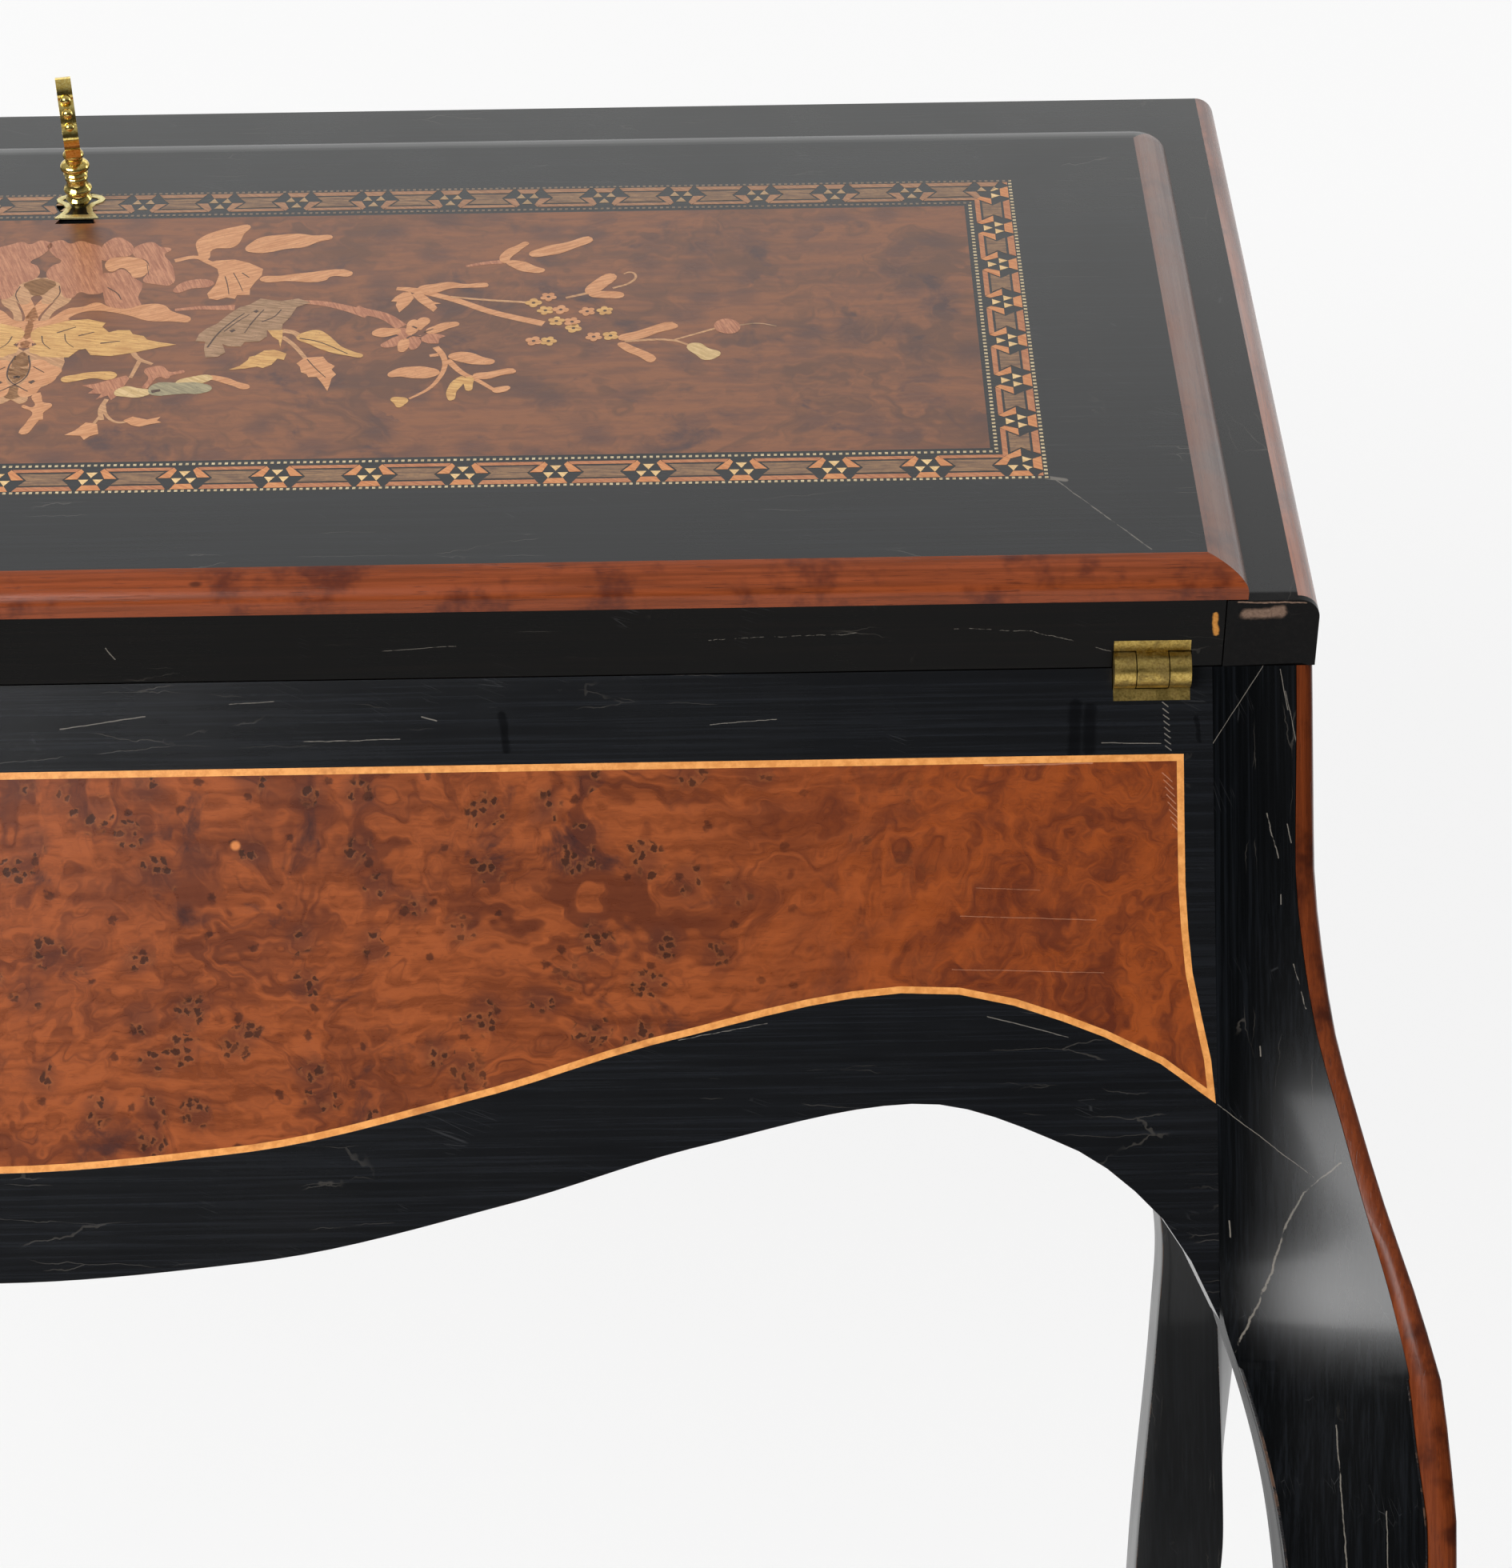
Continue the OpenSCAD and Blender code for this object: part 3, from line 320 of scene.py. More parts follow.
def varnish(made, colour, rough, bump=None, **more):
    """Closes a finish with its shader. A bump is its height, its strength and its depth in metres."""
    names = {"gloss": "Specular IOR Level", "coat": "Coat Weight", "coat_rough": "Coat Roughness"}
    wires = {names.get(label, label.title()): value for label, value in more.items()}
    if bump:
        raised = wire(made.node_tree, "ShaderNodeBump", dict(zip(("Height", "Strength", "Distance"), bump)))
        wires["Normal"] = raised.outputs[0]
    wires.update({"Base Color": colour, "Roughness": rough})
    return close(made, wire(made.node_tree, "ShaderNodeBsdfPrincipled", wires))


def ebonised(
    name, way, cracks=(), chips=(), patches=(), nose=(), shade="08090a", sheen="141619", dull=0.0, gloss=0.4,
    coat=0.2, near=None, matt=None,
):
    """Black French polish. Cracks are pale lines, chips show raw wood, patches are fresh polish.

    Where matt is given, the polish of a leg has gone dull below that height and near the apron.
    Marks on the dull front end of a gable are given as nose.
    """
    made, tree = finish(name)
    place = laid(tree, way)
    worn = apply(tree, rubbed, vector=place)
    colour = stain(tree, fade(tree, worn["Rubbing"], 0.42, 0.72), paint(shade), paint(sheen))
    colour = stain(tree, times(tree, worn["Hairline"], 0.22), colour, paint("6d675f"))
    colour = stain(tree, times(tree, worn["Scratch"], 0.12), colour, paint("7a7a7c"))
    rough = sum_of(tree, "MULTIPLY_ADD", worn["Rubbing"], 0.08, 0.165 + dull)
    rough = sum_of(tree, "MULTIPLY_ADD", worn["Haze"], 0.16, rough)
    if cracks:
        line = scarred(tree, place, cracks, near)
        colour = stain(tree, times(tree, line, 0.6), colour, paint("8d867c"))
        rough = sum_of(tree, "MULTIPLY_ADD", line, 0.3, rough)
    if chips:
        raw = scarred(tree, place, chips, near)
        wood = stain(tree, cloud(tree, place, 1.6, 3.0), paint("b06a28"), paint("e0a050"))
        colour = stain(tree, raw, colour, wood)
        rough = sum_of(tree, "MULTIPLY_ADD", raw, 0.4, rough)
    if patches:
        fresh = scarred(tree, place, patches, near)
        colour = stain(tree, times(tree, fresh, 0.6), colour, paint("020203"))
        rough = sum_of(tree, "MULTIPLY_ADD", fresh, -0.06, rough)
    if matt:
        height, across = parts_of(tree, place)["X"], parts_of(tree, place)["Y"]
        foot = fade(tree, height, matt - 14, matt + 6, 0.12, 1.0)
        head = fade(tree, height, matt + 30, matt + 100, 1.0, 0.4)
        kept = times(tree, times(tree, foot, head), fade(tree, across, 334, 362, 0.02, 1.0))
        gloss, coat = times(tree, kept, gloss), times(tree, kept, coat)
    if nose:
        end = laid(tree, "slope_edge")
        front = fade(tree, parts_of(tree, end)["Z"], 3.0, 4.5, 1.0, 0.0)
        gloss = sum_of(tree, "MULTIPLY_ADD", front, -0.8 * gloss, gloss)
        coat = sum_of(tree, "MULTIPLY_ADD", front, -0.8 * coat, coat)
        bare = stain(tree, cloud(tree, end, 1.1, 4.0, 0.7), paint("2a1812"), paint("a88a76"))
        colour = stain(tree, scarred(tree, end, nose, 4), colour, bare)
    return varnish(made, colour, rough, (worn["Height"], 0.14, 0.00012), gloss=gloss, coat=coat, coat_rough=0.1)


def edge_figure(tree, given):
    """Patches where an edge is rubbed, and the grain of the wood in them."""
    patch = fade(tree, cloud(tree, given["Vector"], 0.09, 5.0, 0.7), 0.5, 0.62)
    return {"Patch": patch, "Grain": cloud(tree, given["Vector"], 1.2, 3.0)}


rubbed_edge = recipe("rubbed_edge", {}, edge_figure)


def worn_arris(name, way):
    """The rubbed edge of black work: brown wood shows through in patches."""
    made, tree = finish(name)
    worn = apply(tree, rubbed_edge, vector=laid(tree, way))
    bare = stain(tree, worn["Grain"], paint("6a4526"), paint("3a2416"))
    colour = stain(tree, times(tree, worn["Patch"], 0.75), paint("121214"), bare)
    rough = sum_of(tree, "MULTIPLY_ADD", worn["Patch"], 0.25, 0.22)
    return varnish(made, colour, rough, (worn["Grain"], 0.3, 0.0003))


def only_selected(*pieces):
    """Selects these pieces alone, with the first one active."""
    for other in bpy.context.selected_objects:
        other.select_set(False)
    for piece in pieces:
        piece.select_set(True)
    bpy.context.view_layer.objects.active = pieces[0]


def solid_copy(name, node, paints, quads=False):
    """A copy of a CAD solid with its points merged and its finishes, in quads where it can be."""
    copy = bpy.data.objects.new(name, nodes[node].data.copy())
    bpy.context.scene.collection.objects.link(copy)
    only_selected(copy)
    bpy.ops.object.mode_set(mode="EDIT")
    bpy.ops.mesh.select_all(action="SELECT")
    bpy.ops.mesh.remove_doubles(threshold=0.000001)
    if quads:
        bpy.ops.mesh.tris_convert_to_quads(face_threshold=radians(50), shape_threshold=radians(60))
    bpy.ops.object.mode_set(mode="OBJECT")
    bpy.ops.mesh.customdata_custom_splitnormals_clear()
    copy.data.materials.clear()
    for made in paints:
        copy.data.materials.append(made)
    for face in copy.data.polygons:
        face.material_index = 0
    return copy


def weigh_arrises(piece, angle, weigh):
    """Weights the arrises of a piece that are sharper than an angle, by layer names from weigh."""
    mesh = bmesh.new()
    mesh.from_mesh(piece.data)
    layers = {label: mesh.edges.layers.float.new(label) for label in ("crease_edge", "bevel_weight_edge")}
    for line in mesh.edges:
        if len(line.link_faces) == 2 and line.calc_face_angle(0) > radians(angle):
            for label in weigh(line.verts[0].co, line.verts[1].co):
                line[layers[label]] = 1.0
    mesh.to_mesh(piece.data)
    mesh.free()


def changed(piece, kind, **settings):
    """Adds a modifier to the active piece and applies it."""
    modifier = piece.modifiers.new(kind.lower(), kind)
    for label, value in settings.items():
        setattr(modifier, label, value)
    bpy.ops.object.modifier_apply(modifier=modifier.name)


def hand_over(piece, body, node=None):
    """Hides the CAD solid that a piece stands for, where one is given, and gives the piece its body."""
    if node:
        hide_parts(node)
    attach(piece, body)
    return piece


def timber(name, node, paints, body="carcass", ease=0.0, keep=None, smooth=30):
    """A finished copy of a CAD solid, its arrises eased by a bevel where keep allows, in its place."""
    copy = solid_copy(name, node, paints)
    if ease:
        weigh_arrises(copy, 25, lambda one, two: ["bevel_weight_edge"] if keep((one + two) / 2) else [])
        changed(copy, "BEVEL", width=ease, segments=2, limit_method="WEIGHT", material=len(paints) - 1)
    bpy.ops.object.shade_smooth_by_angle(angle=radians(smooth))
    if ease:
        changed(copy, "WEIGHTED_NORMAL", keep_sharp=True)
    return hand_over(copy, body, node)


# Four cabriole legs are sawn from square beech and rasped to shape, with stiles that rise beside
# the aprons. They are ebonised, and at the ankles and inner arrises the polish is rubbed to brown.
leg_cracks = [
    (559.5, 335.6, 581, 345.6, 0.42, 3.0),
    (581, 345.6, 594, 349.2, 0.4, 2.4),
    (594, 349.2, 602.7, 354.1, 0.34, 2.0),
    (602.7, 354.1, 611, 363.7, 0.28, 1.6),
    (627, 331, 607, 356.7, 0.14, 0.8),
    (541.7, 360.8, 500.2, 362.7, 0.24, 1.2),
    (519.7, 372.7, 504.4, 372.9, 0.18, 0.8),
    (682.9, 350, 680.3, 350, 0.2, 0.4),
    (641.9, 343.7, 639.3, 343.8, 0.24, 0.4),
    (594.3, 334.9, 590, 335.1, 0.25, 0.5),
    (745, 346, 724, 332, 0.13, 0.4),
    (744, 350.5, 733, 352.5, 0.16, 0.6),
    (738, 352, 722, 355, 0.14, 0.9),
    (705, 346.5, 693, 349.5, 0.22, 1.2),
    (702, 352, 697, 353, 0.2, 0.5),
    (664, 353, 652, 356, 0.2, 1.2),
]
leg_black = ebonised("leg_polish", "up", cracks=leg_cracks, gloss=0.44, coat=0.28, near=-150, matt=562)
rear_black = ebonised("rear_leg_polish", "up", dull=0.06)
leg_arris = worn_arris("leg_arris", "up")
sole, apron_foot = 0.002, 0.564


def leg_arrises(one, two):
    """All sharp arrises of a leg stay, and those below the aprons and round the foot are eased."""
    flat = abs(one.z - two.z) < 0.0001
    eased = max(one.z, two.z) < (sole if flat else apron_foot)
    return ["crease_edge", "bevel_weight_edge"] if eased else ["crease_edge"]


for corner in ("front_left", "front_right", "rear_left", "rear_right"):
    polish = leg_black if "front" in corner else rear_black
    leg = solid_copy("carved_leg_" + corner, "leg_" + corner, [polish, leg_arris], quads=True)
    weigh_arrises(leg, 28, leg_arrises)
    changed(leg, "SUBSURF", levels=2, render_levels=2)
    changed(leg, "BEVEL", width=0.0009, segments=2, limit_method="WEIGHT", material=1)
    bpy.ops.object.shade_smooth_by_angle(angle=radians(32))
    hand_over(leg, "carcass", "leg_" + corner)


# A rounded red strip, of stained fruitwood, is let into the outer corner of each front leg. The same
# wood makes the rounded strips of the gables and three mouldings of the lid.
def fruitwood_figure(tree, given):
    """Grain, dark cross bands, pores and small knots, and the uneven strength of a painted sheen."""
    place = given["Vector"]
    grain = cloud(tree, stretched(tree, place, 0.02, 0.7, 0.7), 1.0, 4.0, 0.6, 0.3)
    pores = fade(tree, cloud(tree, stretched(tree, place, 0.12, 2.2, 2.2), 1.0, 2.0), 0.6, 0.72)
    knots = cells_of(tree, stretched(tree, place, 0.03, 0.06, 0.06))["Distance"]
    bands = cloud(tree, stretched(tree, place, 0.05, 0.05, 0.05), 1.0, 4.0, 0.65)
    return {
        "Grain": grain,
        "Bands": fade(tree, bands, 0.48, 0.68, 0.0, 0.85),
        "Pores": times(tree, pores, 0.5),
        "Knots": fade(tree, knots, 0.03, 0.075, 0.7, 0.0),
        "Painted Sheen": fade(tree, cloud(tree, place, 0.03, 4.0, 0.6), 0.3, 0.7, 0.6, 1.0),
        "Height": sum_of(tree, "MULTIPLY_ADD", pores, -0.6, grain),
    }


fruitwood = recipe("fruitwood_figure", {}, fruitwood_figure)


def red_wood(name, way, painted_sheen_colour="b0a09a", sheen=0.0, dark="5a2512", light="9c4f22", shine=0.5, coat=0.15):
    """Stained and varnished fruitwood, greyed where sheen is given by a pale painted sheen, a painted reflection
    laid into its colour in patches.
    """
    made, tree = finish(name)
    figure = apply(tree, fruitwood, vector=laid(tree, way))
    colour = stain(tree, fade(tree, figure["Grain"], 0.36, 0.66), paint(light), paint("763616"))
    for share, code in (("Bands", dark), ("Pores", "40180c"), ("Knots", "2e120a")):
        colour = stain(tree, figure[share], colour, paint(code))
    # A grey painted sheen, a painted reflection of bright light, is laid over the colour.
    if sheen:
        colour = stain(tree, times(tree, figure["Painted Sheen"], sheen), colour, paint(painted_sheen_colour))
    rough = sum_of(tree, "MULTIPLY_ADD", figure["Grain"], 0.14, 0.2)
    bump = (figure["Height"], 0.25, 0.0002)
    return varnish(made, colour, rough, bump, gloss=shine, coat=coat, coat_rough=0.12)


def dress(made, *names):
    """Gives CAD solids that stay as they are their finish."""
    for name in names:
        for slot in nodes[name].material_slots:
            slot.material = made


strip_red = red_wood("corner_strip_red", "up", light="642c12", dark="36140a", shine=0.22, coat=0.06)
timber("rounded_corner_strips", "corner_strips", [strip_red], smooth=50)


# The aprons are boards between the leg stiles, with a serpentine lower edge. They are ebonised
# round a sunk panel, and a shallow bevel eases their lower edge.
apron_cracks = [
    (302, 724.8, 318, 724.4, 0.16, 0.5),
    (20, 733, 43, 736, 0.18, 0.8),
    (86, 728.6, 112, 728.8, 0.16, 0.9),
    (118, 734.8, 122, 733.6, 0.22, 0.5),
    (66, 739, 78, 739.6, 0.14, 0.6),
    (196, 731.5, 214, 732.6, 0.14, 0.9),
    (96, 628, 128, 632, 0.16, 1.2),
    (186, 646, 210, 650, 0.16, 1.0),
    (270, 651, 292, 645, 0.16, 0.8),
]
for i in range(8):
    u, v = 318.6 + i * 0.1, 735.6 - i * 1.7
    apron_cracks.append((u, v, u + 1.5, v - 1.2, 0.2, 0.5))
apron_patches = [
    (139.8, 735, 140.7, 725.5, 1.5, 1.6),
    (295, 735, 294.6, 722, 2.4, 1.4),
    (299, 734, 298.6, 723, 2.4, 1.4),
    (327.6, 731, 328.7, 725, 0.9, 2.4),
]
apron_black = ebonised(
    "apron_polish", "across", cracks=apron_cracks, patches=apron_patches, shade="0f1012", sheen="1a1c20",
    dull=-0.02, gloss=0.28, coat=0.1, near=-150,
)
side_black = ebonised("side_apron_polish", "back", dull=0.02)
edge_brown = worn_arris("apron_arris", "across")
eased_below, front_reach, side_reach = 0.6285, 0.331, 0.187
front_keep = lambda middle: middle.z < eased_below and abs(middle.x) < front_reach
side_keep = lambda middle: middle.z < eased_below and abs(middle.y) < side_reach
timber("shaped_front_apron", "front_apron", [apron_black, edge_brown], ease=0.0007, keep=front_keep)
for side in ("left", "right"):
    name, node = "shaped_side_apron_" + side, "side_apron_" + side
    timber(name, node, [side_black, edge_brown], ease=0.0007, keep=side_keep)


# Each panel is burr veneer, red-brown and full of small dark eyes, laid in one sheet and varnished.
# Towards the sides the burr gives way to feathered wood. A hole was once filled with a small plug.
def burr_figure(tree, given):
    """Flowing grain, clusters of dark eyes with pale rims, smudges, feathered wood and pores.

    The burr calms, and the calm grows, between two reaches in millimetres from the middle.
    """
    reach = sum_of(tree, "ABSOLUTE", parts_of(tree, given["Vector"])["X"])
    wild = fade(tree, reach, given["Calm From"], given["Calm To"], 1.0, 0.06)
    place = stretched(tree, given["Vector"], 1, 1, 0)
    drifted = shaken(tree, place, cloud(tree, place, 0.018, 4.0, 0.62, 0.3, True), given["Flow"])
    uneven = shaken(tree, drifted, cloud(tree, place, 0.5, 3.0, 0.6, 0.0, True), 3.2)
    spots = cells_of(tree, uneven, 0.38, voronoi_dimensions="2D")
    chance = parts_of(tree, spots["Color"])
    size = sum_of(tree, "MULTIPLY_ADD", chance["Y"], 0.2, 0.17)
    away = sum_of(tree, "SUBTRACT", spots["Distance"], size)
    picked = fade(tree, chance["X"], 0.42, 0.5)
    spot = times(tree, fade(tree, away, -0.04, 0.16, 1.0, 0.0), picked)
    rim = times(tree, fade(tree, away, 0.06, 0.5, 1.0, 0.0), picked)
    groups = cells_of(tree, uneven, 0.066, voronoi_dimensions="2D")
    chosen = parts_of(tree, groups["Color"])
    kept = fade(tree, chosen["X"], 0.42, 0.5)
    spread = sum_of(tree, "SUBTRACT", groups["Distance"], times(tree, chosen["Y"], 0.22))
    cluster = times(tree, fade(tree, spread, 0.14, 0.22, 1.0, 0.0), kept)
    single = cells_of(tree, uneven, 0.052, voronoi_dimensions="2D")["Distance"]
    eye = sum_of(tree, "MAXIMUM", times(tree, spot, cluster), fade(tree, single, 0.035, 0.08, 0.8, 0.0))
    halo = times(tree, fade(tree, groups["Distance"], 0.12, 0.5, 0.5, 0.0), kept)
    smudge = fade(tree, cloud(tree, drifted, 0.045, 5.0, 0.6, 0.7), 0.56, 0.7)
    smudge = times(tree, smudge, fade(tree, cloud(tree, place, 0.2, 4.0, 0.6), 0.3, 0.62, 0.55, 1.0))
    pores = cloud(tree, stretched(tree, given["Vector"], 0.25, 2.4, 1.0), 1.0, 2.0)
    fan = stretched(tree, turned_place(tree, drifted, 0.4), 0.07, 0.02, 1)
    grain = cloud(tree, stretched(tree, drifted, 0.026, 0.28, 1), 1.0, 6.0, 0.58, 0.25)
    eyes = times(tree, eye, wild)
    return {
        "Grain": grain,
        "Tone": cloud(tree, stretched(tree, drifted, 0.012, 0.03, 1), 1.0, 4.0, 0.6),
        "Calm": sum_of(tree, "SUBTRACT", 1.0, wild),
        "Feather": cloud(tree, fan, 1.0, 6.0, 0.68, 0.2),
        "Smudge": times(tree, sum_of(tree, "MAXIMUM", smudge, halo), wild),
        "Rims": times(tree, times(tree, cluster, rim), wild),
        "Eyes": eyes,
        "Pores": fade(tree, pores, 0.6, 0.7, 0.0, 0.3),
        "Height": sum_of(tree, "MULTIPLY_ADD", eyes, -0.5, grain),
    }


burr = recipe("burr_figure", {"Flow": 14.0, "Calm From": 9000.0, "Calm To": 9001.0}, burr_figure)


def burr_veneer(
    name, way, light, middle, dark, smudge="38201f", plugs=(), rows=(), cloudy=0.75, gloss=0.22, shine=0.3,
    calm=(9000.0, 9001.0), flow=14.0, flame=0.0, eyes=True,
):
    """Varnished burr, which turns to feathered wood where it is calm, as far as flame lets it.

    Plugs fill old holes, and rows are fine scratches.
    """
    made, tree = finish(name)
    place = laid(tree, way)
    figure = apply(tree, burr, vector=place, flow=flow, calm_from=calm[0], calm_to=calm[1])
    colour = stain(tree, fade(tree, figure["Grain"], 0.34, 0.62), paint(middle), paint(light))
    colour = stain(tree, fade(tree, figure["Tone"], 0.42, 0.66, 0.0, 0.75), colour, paint(dark))
    if flame:
        bands = stain(tree, fade(tree, figure["Feather"], 0.34, 0.66), paint("5a2615"), paint("9c4a1c"))
        colour = stain(tree, times(tree, figure["Calm"], flame), colour, bands)
    colour = stain(tree, times(tree, figure["Smudge"], cloudy), colour, paint(smudge))
    if eyes:
        colour = stain(tree, times(tree, figure["Rims"], 0.26), colour, paint("ac683a"))
        colour = stain(tree, times(tree, figure["Eyes"], 0.8), colour, paint("24100e"))
    colour = stain(tree, figure["Pores"], colour, paint(dark))
    if plugs:
        colour = stain(tree, scarred(tree, place, plugs), colour, paint("d08048"))
    rough = sum_of(tree, "MULTIPLY_ADD", figure["Grain"], 0.14, gloss)
    if rows:
        line = scarred(tree, place, rows)
        colour = stain(tree, times(tree, line, 0.5), colour, paint("c08868"))
        rough = sum_of(tree, "MULTIPLY_ADD", line, 0.3, rough)
    bump = (figure["Height"], 0.12, 0.0002)
    return varnish(made, colour, rough, bump, gloss=shine, coat=0.12, coat_rough=0.2)


panel_rows = [
    (263, 678.4, 299.9, 676.8, 0.12, 0.5),
    (260.6, 663.9, 301.8, 662.4, 0.12, 0.5),
    (267.4, 686, 284.8, 685.1, 0.1, 0.4),
    (270.1, 719.2, 299.3, 719.4, 0.3, 1.0),
]
panel_rows += [(318.4 + i * 0.35, 716.5 - i * 2, 321 + i * 0.3, 714 - i * 2, 0.2, 0.5) for i in range(8)]
front_burr = burr_veneer(
    "front_burr", "across", "9c5027", "7c3d1d", "542616", cloudy=0.85, calm=(170, 280), flame=0.85,
    plugs=[(66.8, 700.7, 66.9, 700.7, 1.7, 0.2)], rows=panel_rows,
)
side_burr = burr_veneer(
    "side_burr", "back", "9e5228", "82411f", "5a2a18", cloudy=0.85, calm=(110, 170), flame=0.85
)
dress(front_burr, "front_panel")
dress(side_burr, "side_panels")

# A line of light boxwood, two millimetres wide, is let in round each panel with dark hide glue. Its
# varnish has yellowed, and soil has gathered along it in places.
def boxwood_figure(tree, given):
    """The grain of boxwood, and the soil on it."""
    soil = fade(tree, cloud(tree, given["Vector"], 0.06, 4.0, 0.7), 0.55, 0.7, 0.0, 0.5)
    return {"Grain": cloud(tree, given["Vector"], 0.35, 4.0, 0.7), "Soil": soil}


boxwood = recipe("boxwood_figure", {}, boxwood_figure)


def light_line(name, way):
    """Boxwood stringing, yellowed by varnish."""
    made, tree = finish(name)
    figure = apply(tree, boxwood, vector=laid(tree, way))
    colour = stain(tree, fade(tree, figure["Grain"], 0.35, 0.65), paint("f0a65c"), paint("d88c44"))
    colour = stain(tree, figure["Soil"], colour, paint("9a5426"))
    rough = sum_of(tree, "MULTIPLY_ADD", figure["Grain"], 0.2, 0.25)
    return varnish(made, colour, rough, (figure["Grain"], 0.2, 0.0002))


glue_line, tree = finish("joint_glue")
grain = cloud(tree, laid(tree, "across"), 0.8, 3.0)
varnish(glue_line, stain(tree, grain, paint("24120a"), paint("4a2614")), grain)
for name, node, way, axis, face_reach in (
    ("front_line", "front_stringing", "across", 1, 0.2149),
    ("side_lines", "side_stringing", "back", 0, 0.3591),
):
    woods = [light_line(name + "_boxwood", way), glue_line]
    line = timber(name, node, woods, smooth=20)
    only_selected(line)
    for face in line.data.polygons:
        face.select = abs(face.normal[axis]) > 0.9 and abs(face.center[axis]) > face_reach
    bpy.ops.object.mode_set(mode="EDIT")
    bpy.ops.mesh.select_mode(type="FACE")
    bpy.ops.mesh.inset(thickness=0.00022, use_boundary=True, use_even_offset=True)
    bpy.ops.object.mode_set(mode="OBJECT")
    for face in line.data.polygons:
        face.material_index = 0 if face.select else 1

# The gables carry the lid between them. Their edges are capped by rounded red strips, mitred at
# the top, and the slanted rail above the lid laps over them on both shoulders.
gable_nose = [(340.6, 17.4, 349.6, 18.2, 2.3, 3.2), (338, 21.4, 356, 21, 0.35, 1.2)]
# The gable polish is given darker, browner colours than the other black work: painted shade of the front ends of
# the gables, which turn down.
gable_black = ebonised("gable_polish", "back", shade="070606", sheen="100e0d", nose=gable_nose)
rail_black = ebonised("rail_polish", "slope_across")
top_black = ebonised("top_polish", "top")
dress(gable_black, "gable_left", "gable_right")
timber("polished_rail", "top_rail", [rail_black])
rear_top = lambda middle: middle.y > 0.2 and middle.z > 0.92
timber("polished_top", "top_board", [top_black, edge_brown], ease=0.0006, keep=rear_top)
# The gable strips are greyed by a pale painted sheen, a painted reflection of the bright light above them.
strip_slope = red_wood("gable_strip_red", "slope_up", sheen=0.35)
timber("rounded_gable_strips", "gable_strips", [strip_slope], smooth=40)


# The hidden carcass is oak and deal, stained brown: back, rear apron, floor and bearers.
# Its open pores and its rings show, and grime has settled in patches.
def board_figure(tree, given):
    """Rings, open pores and patches of grime."""
    place = given["Vector"]
    return {
        "Rings": cloud(tree, stretched(tree, place, 0.006, 0.12, 0.12), 1.0, 4.0, 0.6, 0.6),
        "Pores": cloud(tree, stretched(tree, place, 0.05, 1.6, 1.6), 1.0, 3.0, 0.7),
        "Grime": fade(tree, cloud(tree, place, 0.02, 5.0, 0.65), 0.5, 0.7, 0.0, 0.5),
    }


open_grain = recipe("open_grain", {}, board_figure)


def stained_timber(name, way, light, dark, shine=0.55):
    """A plain board, stained between two browns."""
    made, tree = finish(name)
    figure = apply(tree, open_grain, vector=laid(tree, way))
    colour = stain(tree, fade(tree, figure["Rings"], 0.35, 0.65), paint(light), paint(dark))
    colour = stain(tree, fade(tree, figure["Pores"], 0.55, 0.75, 0.0, 0.55), colour, paint("1c120b"))
    colour = stain(tree, figure["Grime"], colour, paint("1a130e"))
    rough = sum_of(tree, "MULTIPLY_ADD", figure["Pores"], 0.25, shine)
    return varnish(made, colour, rough, (figure["Pores"], 0.35, 0.0003))


dress(stained_timber("oak_across", "across", "5a4030", "3c2a1e"), "back_panel", "rear_apron")
dress(stained_timber("oak_floor", "top", "6e4c32", "4a3222"), "carcass_floor")
dress(stained_timber("oak_back", "back", "6e4c32", "4a3222"), "bearer_left", "bearer_right")

# The lid is a clamped board with a wider raised face, ebonised like the carcass. Its front edges
# carry three red mouldings and a black one, mitred at the corners. The varnish has crazed.
face_cracks = [(292, 45.5, 315.2, 12, 0.28, 1.2), (288, 47.2, 294.6, 45.4, 1.1, 1.2)]
lid_black = ebonised("lid_face_polish", "slope_across", cracks=face_cracks)
board_cracks = [
    (262, 14, 283, 12.6, 0.12, 1.6),
    (283, 12.6, 304.8, 5.5, 0.14, 2.0),
    (196, 11.5, 236, 13, 0.12, 1.8),
    (108, 9.5, 128, 10.8, 0.12, 1.0),
    (34, 12, 36, 8, 0.22, 2.0),
]
# Its polish is given darker, browner colours than the other black work: painted shade of the lid board's edge,
# which faces down.
board_black = ebonised(
    "lid_board_polish", "slope_edge", cracks=board_cracks, chips=[(332.2, 17, 332.4, 11, 1.0, 2.4)],
    shade="050403", sheen="0c0806", gloss=0.1, coat=0.04, near=4,
)
slope_place = Matrix.Translation(slope_foot) @ Matrix.Rotation(slope_angle, 4, "X")
face_x, face_s, corner_radius = 340.5, 244.2, 10.0


def round_corners(piece):
    """Rounds the upper corners of a piece of the lid, whose profile runs square round them."""
    to_slope = Matrix.Scale(1000, 4) @ slope_place.inverted()
    piece.data.transform(to_slope)
    only_selected(piece)
    bpy.ops.object.mode_set(mode="EDIT")
    for step in range(5):
        up, across = face_s - corner_radius * step / 4, face_x - corner_radius * step / 4
        for place, normal in (((0, up), (0, 1)), ((across, 0), (1, 0)), ((-across, 0), (1, 0))):
            bpy.ops.mesh.select_all(action="SELECT")
            bpy.ops.mesh.bisect(plane_co=(*place, 0), plane_no=(*normal, 0))
    bpy.ops.object.mode_set(mode="OBJECT")
    for point in piece.data.vertices:
        across = abs(point.co.x) - (face_x - corner_radius)
        along = point.co.y - (face_s - corner_radius)
        reach = max(across, along)
        if min(across, along) > 0.0:
            turn = pi / 4 * (along / reach if across >= along else 2 - across / reach)
            point.co.x = (face_x - corner_radius + reach * cos(turn)) * (1 if point.co.x > 0 else -1)
            point.co.y = face_s - corner_radius + reach * sin(turn)
    piece.data.transform(to_slope.inverted())
    only_selected(piece)
    bpy.ops.object.shade_smooth_by_angle(angle=radians(28))


